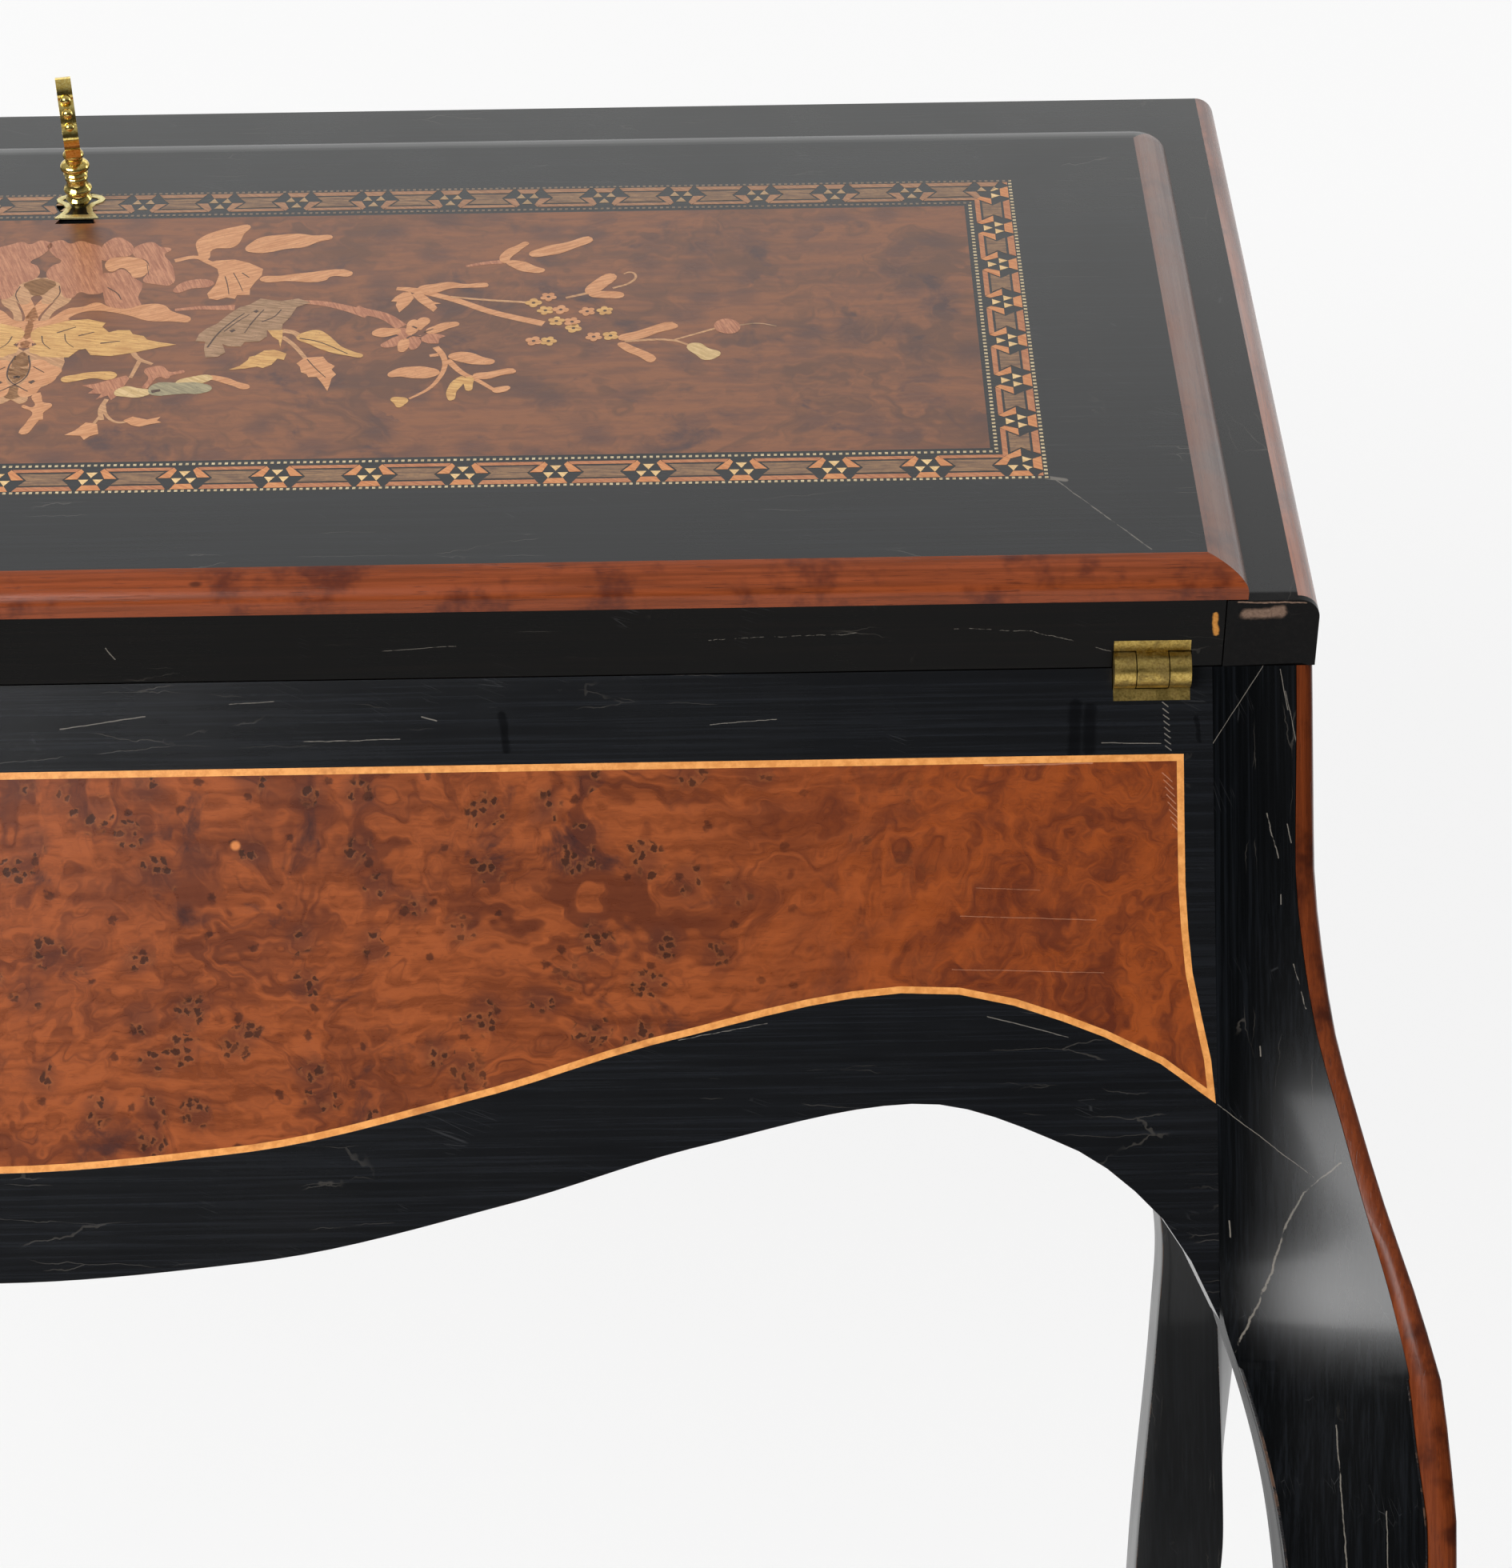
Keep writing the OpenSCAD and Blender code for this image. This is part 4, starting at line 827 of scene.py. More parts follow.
timber("polished_lid_board", "lid_board", [board_black], body="lid")
round_corners(timber("polished_lid_face", "lid_face", [lid_black], body="lid"))
bottom_red = red_wood(
    "bottom_moulding_red", "slope_across", light="8e4422", dark="4a1d12", shine=0.25, coat=0.03
)
# The side mouldings are greyed by a darker painted sheen, a painted reflection of bright light.
side_red = red_wood("side_moulding_red", "slope_up", painted_sheen_colour="74726f", sheen=0.55, light="80431f")
for side, red in (("bottom", bottom_red), ("left", side_red), ("right", side_red)):
    name, node = "rounded_moulding_" + side, "lid_moulding_" + side
    moulding = timber(name, node, [red], body="lid", smooth=28)
    if side != "bottom":
        round_corners(moulding)
round_corners(timber("rounded_moulding_top", "lid_moulding_top", [rail_black], body="lid", smooth=28))

# The field is burr walnut, faded to a greyish brown, and clouded where the burr was dense. It is
# one sheet, glued to the lid between the banding on its four sides.
field_burr = burr_veneer(
    "field_burr", "slope_across", "86502c", "724226", "54321f", smudge="3a2426", cloudy=0.8, gloss=0.3,
    shine=0.5, flow=10.0, eyes=False,
)
dress(field_burr, "lid_field")


# Flat inlay is cut from thin veneers with a fret saw and let into the ground, flush with it.
# Each veneer is one piece of wood with its own grain, scorched or scratched a little.
def veneer_figure(tree, given):
    """Grain at an angle, broad darker patches and small flecks."""
    place = given["Vector"]
    along = stretched(tree, turned_place(tree, place, given["Turn"]), 0.12, 1.3, 0.1)
    return {
        "Grain": cloud(tree, along, 1.0, 4.0, 0.7, 0.4),
        "Patches": fade(tree, cloud(tree, place, given["Scale"], 4.0, 0.65), 0.45, 0.72, 0.0, 0.5),
        "Flecks": times(tree, fade(tree, cloud(tree, place, 1.4, 2.0), 0.66, 0.72), 0.45),
    }


thin_veneer = recipe("thin_veneer", {"Scale": 0.35, "Turn": 0.6}, veneer_figure)


def inlay_wood(name, light, dark, scale=0.35, turn=0.6):
    """Veneer between two tones."""
    made, tree = finish(name)
    figure = apply(tree, thin_veneer, vector=laid(tree, "slope_across"), scale=scale, turn=turn)
    colour = stain(tree, fade(tree, figure["Grain"], 0.32, 0.68), paint(light), paint(dark))
    colour = stain(tree, figure["Patches"], colour, paint(dark))
    colour = stain(tree, figure["Flecks"], colour, paint("4a2a1c"))
    rough = sum_of(tree, "MULTIPLY_ADD", figure["Grain"], 0.2, 0.24)
    return varnish(made, colour, rough, (figure["Grain"], 0.12, 0.0002))


face_level = 30.7


def on_slope(piece, level=face_level):
    """Moves a piece drawn flat in millimetres, across and up the slope, onto the face of the lid."""
    piece.data.transform(Matrix.Scale(0.001, 4))
    piece.data.transform(Matrix.Translation((0, 0, level * 0.001)))
    piece.data.transform(slope_place)


streaked_wood = inlay_wood("streaked_veneer", "9a744e", "5e4434", 0.5, turn=0.05)
band_woods = {
    "peach": inlay_wood("peach_veneer", "c28052", "a2603a"),
    "bright": inlay_wood("bright_veneer", "d8945a", "bc7240", 0.5),
    "cream": inlay_wood("cream_veneer", "f2d096", "cfa468", 0.6),
    "streaked": streaked_wood,
    "dots": inlay_wood("dot_veneer", "dccaa0", "a8906a", 0.6),
}
dull_peach = inlay_wood("dull_peach_veneer", "ac7c56", "8c6042")
faded_woods = {
    "peach": dull_peach,
    "bright": dull_peach,
    "cream": inlay_wood("dull_cream_veneer", "b8966e", "94744e", 0.6),
    "streaked": streaked_wood,
    "dots": inlay_wood("dull_dot_veneer", "84705c", "665442", 0.6),
}
dress(ebonised("banding_ground", "slope_across", shade="0a0a0b", sheen="1a1a1c"), "lid_banding")


# The banding round the field is a parquetry strip, glued up as a block and sliced. In each length
# a star of light and black triangles parts two streaked bars, between two rows of small squares.
# A star stands at each corner, and whole lengths fill the sides between them.
def band_tile(pitch):
    """The veneers of one length of banding, as flat outlines round a star at 0, by wood."""
    half = pitch / 2
    woods = {"peach": [], "bright": [], "cream": [], "streaked": []}
    woods["bright"].append([(-3.4, 1.7), (3.4, 1.7), (2.15, 4.2), (-2.15, 4.2)])
    for side in (-1, 1):
        turn = lambda points: [(side * u, v) for u, v in points][::side]
        woods["peach"].append(turn([(4.5, 1.7), (half, 1.7), (half, 3.7), (5.7, 3.7)]))
        woods["peach"].append(turn([(4.35, 10.8), (half, 10.8), (half, 12.3), (3.5, 12.3)]))
        woods["bright"].append(turn([(3.75, 7.2), (7.15, 7.2), (4.2, 11.0), (3.2, 12.3), (2.25, 10.9)]))
        woods["streaked"].append(turn([(5.9, 4.4), (half, 4.4), (half, 10.1), (5.6, 10.1), (7.9, 7.0)]))
        woods["cream"].append(turn([(0.55, 7.0), (3.45, 7.0), (2.0, 4.35)]))
    woods["cream"].append([(-1.6, 10.4), (0, 7.75), (1.6, 10.4)])
    return woods


def closed_lines(name, outlines):
    """A flat curve of closed outlines with straight sides, filled."""
    drawn = bpy.data.curves.new(name, "CURVE")
    drawn.dimensions, drawn.fill_mode = "2D", "BOTH"
    for outline in outlines:
        line = drawn.splines.new("POLY")
        line.points.add(len(outline) - 1)
        for point, (u, v) in zip(line.points, outline):
            point.co = (u, v, 0, 1)
        line.use_cyclic_u = True
    return drawn


def piece_of(drawn, paint_on=None):
    """Makes a drawn curve a piece of its own, with its finish where it has one."""
    piece = bpy.data.objects.new(drawn.name, drawn)
    bpy.context.scene.collection.objects.link(piece)
    only_selected(piece)
    bpy.ops.object.convert(target="MESH")
    piece = bpy.context.object
    piece.data.materials.clear()
    if paint_on:
        piece.data.materials.append(paint_on)
    return piece


def repeated(piece, count, pitch):
    """Repeats the active piece across, at a pitch."""
    changed(
        piece, "ARRAY", count=count, use_relative_offset=False, use_constant_offset=True,
        constant_offset_displace=(pitch, 0, 0),
    )


band_low, band_high, band_side, band_width = 46.0, 209.2, 290.5, 15.6
long_run, short_run = 2 * band_side - band_width, band_high - band_low - band_width
dot_size, dot_pitch = (0.9, 1.0), 1.81
dot_corners = [(0.4, 0.4), (0.4, 13.4)]
strips = [
    ("bottom", 22, long_run, -band_side, band_low, 0),
    ("right", 7, short_run, band_side, band_low, pi / 2),
    ("top", 24, long_run, band_side, band_high, pi),
    ("left", 7, short_run, -band_side, band_high, -pi / 2),
]
for side, count, run, across, up, turn in strips:
    woods = faded_woods if side == "top" else band_woods
    pitch = run / count
    tile = band_tile(pitch)
    parts = [piece_of(closed_lines("tile", tile[wood]), woods[wood]) for wood in tile]
    only_selected(*parts)
    bpy.ops.object.join()
    strip = bpy.context.object
    strip.name = "banding_" + side
    repeated(strip, count + 1, pitch)
    strip.data.transform(Matrix.Translation((band_width / 2, 0, 0)))
    wide, high = dot_size
    squares = [[(u, v), (u + wide, v), (u + wide, v + high), (u, v + high)] for u, v in dot_corners]
    dots = piece_of(closed_lines("dots", squares), woods["dots"])
    length = run + band_width
    dot_count = int(length / dot_pitch)
    repeated(dots, dot_count, length / dot_count)
    only_selected(strip, dots)
    bpy.ops.object.join()
    bpy.ops.object.mode_set(mode="EDIT")
    for corner, normal in (((0, 0, 0), (-1, 1, 0)), ((length, 0, 0), (1, 1, 0))):
        bpy.ops.mesh.select_all(action="SELECT")
        bpy.ops.mesh.bisect(plane_co=corner, plane_no=normal, clear_outer=True)
    bpy.ops.object.mode_set(mode="OBJECT")
    strip.data.transform(Matrix.Translation((across, up, 0)) @ Matrix.Rotation(turn, 4, "Z"))
    on_slope(strip, face_level + 0.04)
    hand_over(strip, "lid")


# A spray of flowers fills the right of the field, with its mirror image at the left. Leaves, petals
# and stems are sawn from fruitwoods and let in, and veins are cut with a knife and filled dark.
spray_woods = {
    "tan": inlay_wood("tan_veneer", "cf9e70", "a87850"),
    "rose": inlay_wood("rose_veneer", "c48660", "985c40", turn=1.2),
    "peach": inlay_wood("flower_veneer", "d89c6c", "b87a4c", turn=-0.4),
    "gold": inlay_wood("gold_veneer", "deb06a", "b88448", turn=0.2),
    "pale": inlay_wood("pale_veneer", "dcbc88", "b8965e"),
    "sage": inlay_wood("sage_veneer", "a89a76", "80765a"),
    "bark": inlay_wood("bark_veneer", "b48c6a", "80603e", turn=0.2),
    "vein": inlay_wood("vein_filler", "5a3a28", "3a2418", 0.8),
}
# Outlines in millimetres, across and up the slope. Round ones curve through their points, and
# toothed ones run straight between them.
outlines = [
    ("tan", "round", [(-10.7, 157.5), (-9, 154.7), (-8.4, 149.2), (-4.7, 136.8), (-5.2, 134.8), (-8.2, 141),
        (-12.3, 147.2), (-11.5, 152), (-11.4, 156.1)]),
    ("tan", "round", [(-12, 163.4), (-11.1, 166.9), (-9, 168.7), (-9.4, 165.8), (-10.8, 162.7)]),
    ("tan", "round", [(-9, 156.1), (-7.4, 159.1), (-3.9, 160.1), (-0.9, 159.3), (2.8, 156.4), (1, 153),
        (-0.4, 150.3), (-3.2, 149.7), (-4.1, 145.6), (-6.3, 145.3), (-8, 147.8), (-8.2, 151.2)]),
    ("tan", "round", [(-10.1, 124), (-5.6, 122.2), (-1.4, 118.8), (0.6, 112.2), (0.6, 107), (-1.8, 102.6),
        (-6.4, 97.9)]),
    ("tan", "round", [(-6.2, 96.7), (-1, 101), (0.4, 95.8), (-2.3, 93.7), (-5.5, 91.9)]),
    ("rose", "round", [(-2.7, 178.7), (1, 181.6), (4.2, 179.5), (6.6, 180.9), (10.1, 179.4), (13.7, 177.1),
        (14.7, 169.3), (15.9, 162.3), (17.1, 153.9), (17.2, 151.2), (13.7, 150.2), (10.3, 151.4), (8.5, 148.3),
        (6.7, 148.4), (4.9, 151.5), (3.4, 157.1), (2.2, 157.8), (-0.7, 160.7), (0.3, 166.9), (2.6, 169),
        (0.2, 172.2), (-2, 176.2)]),
    ("rose", "round", [(13.8, 176.4), (15.2, 180.6), (17.9, 182.7), (21.1, 180.5), (23.4, 176.8),
        (22.8, 171.9), (18.9, 171.3), (15.4, 169.3)]),
    ("rose", "round", [(23.6, 175.8), (26.1, 178.9), (29, 179.5), (31.5, 176.9), (35, 175.4), (33.3, 172.3),
        (35.4, 168), (37, 163), (36.8, 154.7), (34.3, 154.8), (31.6, 155.5), (28.6, 157), (29.3, 161.9),
        (28.3, 168.9), (24.6, 171.1)]),
    ("rose", "round", [(16, 161.9), (18.8, 162.2), (21.2, 164.2), (24.1, 161.3), (26.2, 158.5), (28.2, 156.3),
        (28.6, 153.6), (28.1, 148.1), (29.1, 142.6), (23.4, 142.1), (19.6, 143.6), (18.2, 147), (17, 153.9)]),
    ("rose", "toothed", [(17.4, 100.8), (21.1, 101.6), (25.1, 103.7), (29.4, 105.7), (30.5, 104.1),
        (28.2, 95.3), (26.6, 92.9), (25.4, 95.4), (22.2, 93.3), (23.5, 96.2), (19.5, 96.6), (21, 98.7)]),
    ("rose", "round", [(34.4, 108.6), (36.7, 110.2), (39.1, 110.4), (41.9, 107.3), (46.1, 107.5),
        (42.2, 105.1), (41.6, 103.8), (39, 104.6), (37, 100.8), (35.5, 98.6), (36, 104.1)]),
    ("rose", "round", [(38.4, 153.3), (42.6, 157.3), (49.3, 156.5), (49.5, 154.3), (43.1, 152.4), (38.7, 150.4)]),
    ("rose", "round", [(101.6, 119.3), (103.3, 122), (106, 124.4), (108.2, 124.5), (107.6, 121.2), (105, 118.6)]),
    ("rose", "round", [(110, 117.7), (111, 123.7), (112.9, 122.4), (112.7, 118.9), (111, 117)]),
    ("rose", "toothed", [(113.1, 123.6), (114.8, 125.5), (118, 125.4), (120.3, 124.1), (118.5, 122.9),
        (118.3, 120.1), (115.4, 120.2), (113.3, 121.7)]),
    ("rose", "round", [(105.4, 127.9), (108.6, 128.5), (110.9, 124.4), (113.1, 124.4), (111.1, 122.4),
        (108.9, 122.5), (107.1, 123.9)]),
    ("rose", "round", [(198.3, 126.9), (200.9, 131.1), (205.4, 128.8), (205.1, 124.1), (201.9, 123.1)]),
    ("peach", "round", [(17.2, 163.6), (16.8, 169.9), (20.7, 171.2), (24.4, 170.8), (28.2, 168.2),
        (28.6, 160.5), (25.8, 159.2), (24, 162), (21.1, 164.9), (18.8, 162.9)]),
    ("peach", "round", [(-1.3, 135.4), (2.2, 136), (8.2, 142.5), (12.4, 143.4), (16.1, 145.6), (20.4, 142.9),
        (25.9, 142), (29.7, 143.9), (35.8, 143.8), (38.7, 140.3), (44.9, 134.7), (39.3, 134.5), (32.1, 135.1),
        (26.8, 137.9), (21.5, 140), (15.6, 141), (11.4, 139.7), (8.9, 137.1), (3.8, 131.9)]),
    ("peach", "round", [(0.6, 113.5), (3.6, 114.9), (7.2, 112), (10.5, 109.3), (9.7, 106.1), (8.7, 102.9),
        (5.9, 100.5), (4.3, 96.7), (1, 95.2), (-0.7, 99.7), (0.9, 104.8), (1.2, 108.9)]),
    ("peach", "round", [(52.7, 104.2), (58, 103.9), (61.7, 101.5), (65.6, 98.6), (64.2, 97.5), (60.5, 99.4),
        (56.1, 101.9)]),
    ("peach", "round", [(42.6, 175.2), (42.1, 179.1), (43.4, 181.9), (47.5, 185.4), (52.9, 187.8),
        (57.4, 188.6), (56.2, 183.7), (53.6, 175.9), (47.5, 174.7), (46.6, 169.1), (44.6, 168.4), (43.3, 172.7)]),
    ("peach", "toothed", [(46.4, 166.9), (49.2, 168.3), (54.7, 168.8), (59.3, 166.6), (63.7, 163.1),
        (63.6, 159.4), (61.9, 155.5), (60.8, 151.9), (61, 148.5), (57.3, 148.5), (56.8, 146.4), (54.2, 147.3),
        (51.6, 145.9), (49.1, 146.8), (48.3, 149.5), (50.2, 154.3), (50.8, 159.8), (50, 163.5)]),
    ("peach", "round", [(57.4, 174.2), (58.9, 178.6), (61.6, 181.4), (67.1, 182.7), (72.6, 183.2),
        (77.1, 182.1), (83.2, 181.1), (78.6, 178), (75.1, 175.3), (69.6, 174.4), (64.6, 172.6), (60.6, 172.4)]),
    ("peach", "round", [(63.3, 157.9), (69.4, 159.1), (76.3, 160.5), (90.2, 160.9), (90.3, 158.6),
        (84.2, 158.1), (82.8, 156), (71.2, 156), (63.9, 156.1)]),
    ("peach", "round", [(53.8, 128.4), (57.9, 134), (60.7, 134.8), (63.7, 135.8), (62.5, 131.5), (60.8, 128.2),
        (60.9, 124.9), (55.7, 127)]),
    ("peach", "toothed", [(80.7, 113.7), (85.3, 114.1), (86.9, 111), (89.1, 109), (88.3, 107.1), (89.8, 104.5),
        (88.6, 102.4), (88.4, 99.4), (87.9, 95.8), (86, 100.1), (84.3, 103.3), (81.9, 103.3), (81.2, 105),
        (79.6, 105.9), (79, 109), (77.9, 110.6), (79.7, 113.2)]),
    ("peach", "round", [(110.5, 150.6), (115.8, 153.2), (120.2, 153.9), (124.2, 152.8), (131.6, 151.9),
        (126.1, 150.6), (120.3, 150.3), (115.4, 147.9), (111.7, 149.2)]),
    ("peach", "toothed", [(108.5, 148.8), (109.8, 145.3), (108.5, 141.8), (105.9, 137.4), (104.6, 141.4),
        (104.9, 143.3), (103.1, 143.7), (104.3, 146.2), (106.3, 148.5)]),
    ("peach", "toothed", [(108.9, 147.4), (111.4, 148.7), (114.1, 145.2), (115.6, 143.2), (118, 142),
        (116, 141.6), (117, 139.7), (115.9, 137.5), (113.6, 140.4), (111.3, 143.2)]),
    ("peach", "round", [(134.6, 165.2), (135.8, 171.6), (138.4, 173.8), (142.4, 176.2), (140.6, 172.1),
        (137.5, 167.2), (136.7, 164.4)]),
    ("peach", "round", [(136.5, 164.9), (141.2, 165.1), (145, 162.2), (148, 159.6), (142.2, 159.1),
        (138.4, 161.7)]),
    ("peach", "round", [(143, 168.7), (146.8, 172.9), (153.8, 175.6), (161.7, 178.1), (156.2, 172),
        (149.7, 168.5)]),
    ("peach", "round", [(98.6, 126.1), (100.3, 128.7), (103.9, 128.9), (107, 127.7), (103.8, 124.5),
        (100.6, 124.3)]),
    ("peach", "round", [(106.7, 117.1), (108.8, 123.2), (109.8, 121.1), (109.3, 117.2), (107.9, 115.8)]),
    ("peach", "round", [(108.5, 129), (109.7, 133.1), (111.2, 133.2), (112.2, 129), (110.9, 125.6),
        (109.5, 125)]),
    ("peach", "round", [(111.5, 133.1), (113.6, 134.5), (115.2, 133), (113.5, 128.9), (112.5, 127.6)]),
    ("peach", "round", [(114.3, 127.5), (116.4, 129.6), (119.8, 131.5), (123.9, 130.8), (120.7, 128.1),
        (118, 126.1), (115.2, 125.5)]),
    ("peach", "round", [(121.5, 113.4), (123.5, 115.2), (127.8, 115), (131.4, 112.6), (135.1, 109.8),
        (129.8, 108.6), (125.2, 110.1), (122.3, 111.8)]),
    ("peach", "round", [(104.7, 103.2), (106.7, 106.7), (111.2, 108), (115.8, 107.6), (119.5, 104.9),
        (117.8, 102.5), (112.6, 101.8), (108.3, 102.8)]),
    ("peach", "round", [(129, 102.9), (133.2, 104.5), (141.4, 105), (137.1, 102.6), (131.9, 100.8)]),
    ("peach", "round", [(134.9, 95.4), (137, 96.7), (139.9, 96.7), (139.6, 95), (137.5, 93.7), (135.7, 93.7)]),
    ("peach", "round", [(160.6, 146.3), (162.8, 153.3), (168.7, 157.1), (166.1, 149.5), (162.1, 145.9)]),
    ("peach", "round", [(161.3, 145.9), (166.1, 147.5), (171.9, 145), (166.2, 143.7)]),
    ("peach", "round", [(170.4, 121.3), (175.9, 125.2), (187.7, 128.3), (182.1, 124.2), (174.9, 120.4)]),
    ("peach", "round", [(170.6, 119), (175, 116.9), (180.9, 108.6), (176.1, 111.9), (171.9, 115.5)]),
    ("peach", "round", [(3.9, 96.4), (5.9, 96.7), (7.1, 92.6), (10.1, 91.1), (8.2, 87.1), (6.8, 81.3),
        (3.5, 76), (4.1, 82.6), (5, 87.2), (1.6, 90.9), (4.8, 89.9)]),
    ("peach", "toothed", [(15.6, 75.4), (18.3, 77.7), (20.8, 81.6), (24.1, 80.8), (25.1, 75.7), (22.9, 74.7),
        (21.4, 72.8), (20.1, 74.9)]),
    ("peach", "toothed", [(31.3, 82.4), (33.8, 84.2), (38, 82.6), (41.7, 83.9), (40.9, 82.1), (42.3, 81),
        (39.6, 80.4), (36.2, 79), (33.9, 79.8)]),
    ("gold", "toothed", [(-1.2, 129.4), (0.2, 132), (3.6, 133.4), (9.1, 135.8), (14.7, 136.4), (20.2, 134.2),
        (19.4, 132.1), (21.7, 129), (24.1, 130.1), (27.7, 130), (28.8, 127.8), (32.1, 126.7), (33.3, 124.7),
        (36.6, 123.3), (42.2, 121.8), (37, 120.3), (30.5, 117.9), (23.6, 116.1), (17.8, 116.9), (16, 120.3),
        (14, 119.7), (11.6, 115.8), (7.3, 115.9), (3.4, 116.4), (2.2, 117.7), (-0.1, 118.8), (-0.5, 121.4),
        (1.4, 123), (-0.6, 126)]),
    ("gold", "round", [(10.9, 104.7), (14.9, 106.6), (19.7, 107.8), (26.7, 106.4), (25.1, 103.7),
        (20.1, 104.5), (14.7, 103), (11.9, 102.7)]),
    ("gold", "toothed", [(68, 128.8), (72.4, 129.2), (72.7, 124.9), (72.5, 119.2), (71.7, 123.3), (69.8, 125.2)]),
    ("gold", "round", [(76.8, 125.1), (79.3, 127.6), (82.8, 128.4), (85.5, 126.2), (87.9, 122.8),
        (90.3, 119.3), (93.6, 116.7), (96.8, 113.9), (92.3, 114.4), (85, 117.6), (79.7, 121.7), (77.5, 123.1)]),
    ("gold", "toothed", [(72.6, 117.3), (74.6, 115.9), (74.1, 112.6), (72.2, 113.4), (70.8, 110.2),
        (68.4, 108.5), (66.7, 109.3), (63.2, 108.3), (58.6, 107.8), (61.6, 109.8), (63.7, 112.9), (64, 114.6),
        (65.7, 115.2), (68, 117.8), (70.8, 118.1)]),
    ("gold", "round", [(106.3, 91.5), (109, 92.1), (111.2, 90.9), (110.3, 88.1), (108.7, 86.8), (107.4, 88.8)]),
    ("gold", "round", [(126.3, 102.4), (126.8, 99.8), (124.9, 94.8), (123.4, 89.9), (122.2, 91.7),
        (122.3, 96.8), (124.2, 101.1)]),
    ("gold", "round", [(126.8, 101.6), (128.8, 102), (129.3, 98.5), (128.3, 94.8), (126.8, 97.9)]),
    ("pale", "round", [(27.1, 96), (29.6, 99.9), (33.3, 99), (37.5, 96.9), (35.3, 94.4), (30.4, 94.5)]),
    ("pale", "round", [(44.1, 101.8), (47.4, 104.1), (54.4, 104.2), (51.9, 101), (47.9, 99.1), (45.2, 98.4)]),
    ("pale", "round", [(190.5, 117.1), (193.6, 118.3), (196.7, 115.3), (200.1, 112.9), (198.7, 110.1),
        (195.6, 109.1), (193.1, 111.8)]),
    ("sage", "round", [(37, 96.2), (37.9, 100.9), (45, 101.4), (51.3, 101.1), (54.8, 98.1), (51.9, 95.6),
        (47, 95.6), (43.5, 95.2), (38.9, 94.9)]),
    ("bark", "toothed", [(61.4, 143), (64.4, 146.3), (70.7, 144.8), (75.6, 146), (79.4, 143.7), (75.5, 141.2),
        (74.1, 135.9), (72.2, 131.9), (72.1, 128.7), (67.8, 128.7), (68.1, 125.4), (66.1, 122.6),
        (61.9, 122.5), (61, 120.1), (57.1, 120.2), (55.5, 121.8), (56.8, 117.1), (54.8, 114.8), (51.3, 114.5),
        (50.4, 119.3), (50.4, 123.1), (47.5, 123.3), (48.2, 127.3), (50.3, 130.5), (52.7, 132.5),
        (55.8, 137.8), (58.7, 141.7)]),
]
# Stems, with their width at the root and at the tip.
stems = [
    ("peach", 3.3, 4, [(-1.4, 121.4), (-2.5, 128.7), (-2.4, 135.4), (-0.2, 143.5), (2.6, 149.5), (6.6, 154.9)]),
    ("peach", 3.3, 3.3, [(-3.2, 124.5), (-7.4, 130.2), (-12, 137.4)]),
    ("tan", 1.4, 1.6, [(-11, 156.1), (-12.4, 163.1), (-16.7, 170.2)]),
    ("peach", 2.2, 2.2, [(4.9, 97.3), (6.4, 90.9), (7.4, 83.4)]),
    ("tan", 1.8, 1.2, [(29.2, 119.9), (31.9, 114.6), (36.3, 111.5)]),
    ("tan", 1.4, 1.1, [(32.6, 114.5), (30.8, 104.5)]),
    ("tan", 1.4, 1.4, [(25.3, 93.5), (24.2, 87.9), (25.2, 82.8)]),
    ("tan", 1.1, 0.9, [(24.7, 91.2), (26.5, 84.7), (29.9, 81.4), (33.1, 82)]),
    ("tan", 1, 0.9, [(25.1, 86.6), (23.1, 80.8)]),
    ("peach", 1.9, 1.9, [(36.7, 168.6), (43.1, 170.4), (46.8, 167.6), (50.1, 165.1)]),
    ("rose", 1.3, 2.9, [(39.7, 140.8), (46.4, 141.7), (52.2, 141.6), (57.2, 141.6)]),
    ("rose", 1.8, 3.8, [(75.8, 144.3), (83.1, 143.1), (90.5, 140.1), (96.9, 136.4)]),
    ("tan", 2, 1.7, [(72.4, 128.4), (76.1, 127.1), (77.9, 124.1)]),
    ("tan", 1.5, 1.3, [(72.7, 125.1), (76.3, 120.5), (80.2, 113.5)]),
    ("peach", 1.7, 3, [(104.3, 150.8), (107.3, 150.3), (111, 149.2)]),
    ("peach", 2.2, 2.8, [(111, 149.2), (116.9, 146.5), (122.8, 143.4), (132.5, 137.2), (140.5, 133.4),
        (148.5, 130)]),
    ("tan", 0.9, 1.1, [(120.6, 145.7), (128.6, 144.1), (143.1, 141.9)]),
    ("rose", 1.1, 2.1, [(124.4, 162.8), (129.2, 164.2), (135, 165.1)]),
    ("rose", 3.3, 3.7, [(92.7, 140.4), (94.3, 139), (101.7, 135.4), (107.1, 129.5)]),
    ("peach", 2, 0.8, [(117.6, 118.3), (119.7, 114.3), (120.7, 110.3), (120.7, 107.1), (119.3, 101.3),
        (116.8, 96.3), (113.8, 93.2), (111.5, 91.2)]),
    ("peach", 1.3, 1.7, [(116.1, 113.6), (118.6, 114.2)]),
    ("peach", 2, 1.3, [(121.4, 111.3), (126.5, 103.7), (129.1, 101.6), (135.8, 94.8)]),
    ("tan", 1, 1.2, [(154.6, 144.1), (160.9, 146.5)]),
    ("tan", 0.9, 0.6, [(168.4, 149.1), (173.5, 152.1), (175.1, 156.1), (173.4, 158), (171.5, 157)]),
    ("tan", 1.2, 0.8, [(172.3, 119.9), (186.3, 119.9), (191.7, 116.8)]),
    ("tan", 0.7, 0.9, [(186.8, 120.2), (198.8, 126.1)]),
    ("bark", 0.6, 0.4, [(205.7, 127.6), (211.3, 128.4), (216.5, 126.7)]),
]
blossoms = [(145.2, 141.6), (149.5, 144.8), (148.8, 137.3), (153.3, 137.6), (152.2, 131.3), (156.8, 130.8),
    (157.3, 127.3), (161.1, 136.4), (166.3, 136.6), (145.9, 120.7), (150.2, 120.5), (163.3, 122.5),
    (168.2, 122.9)]
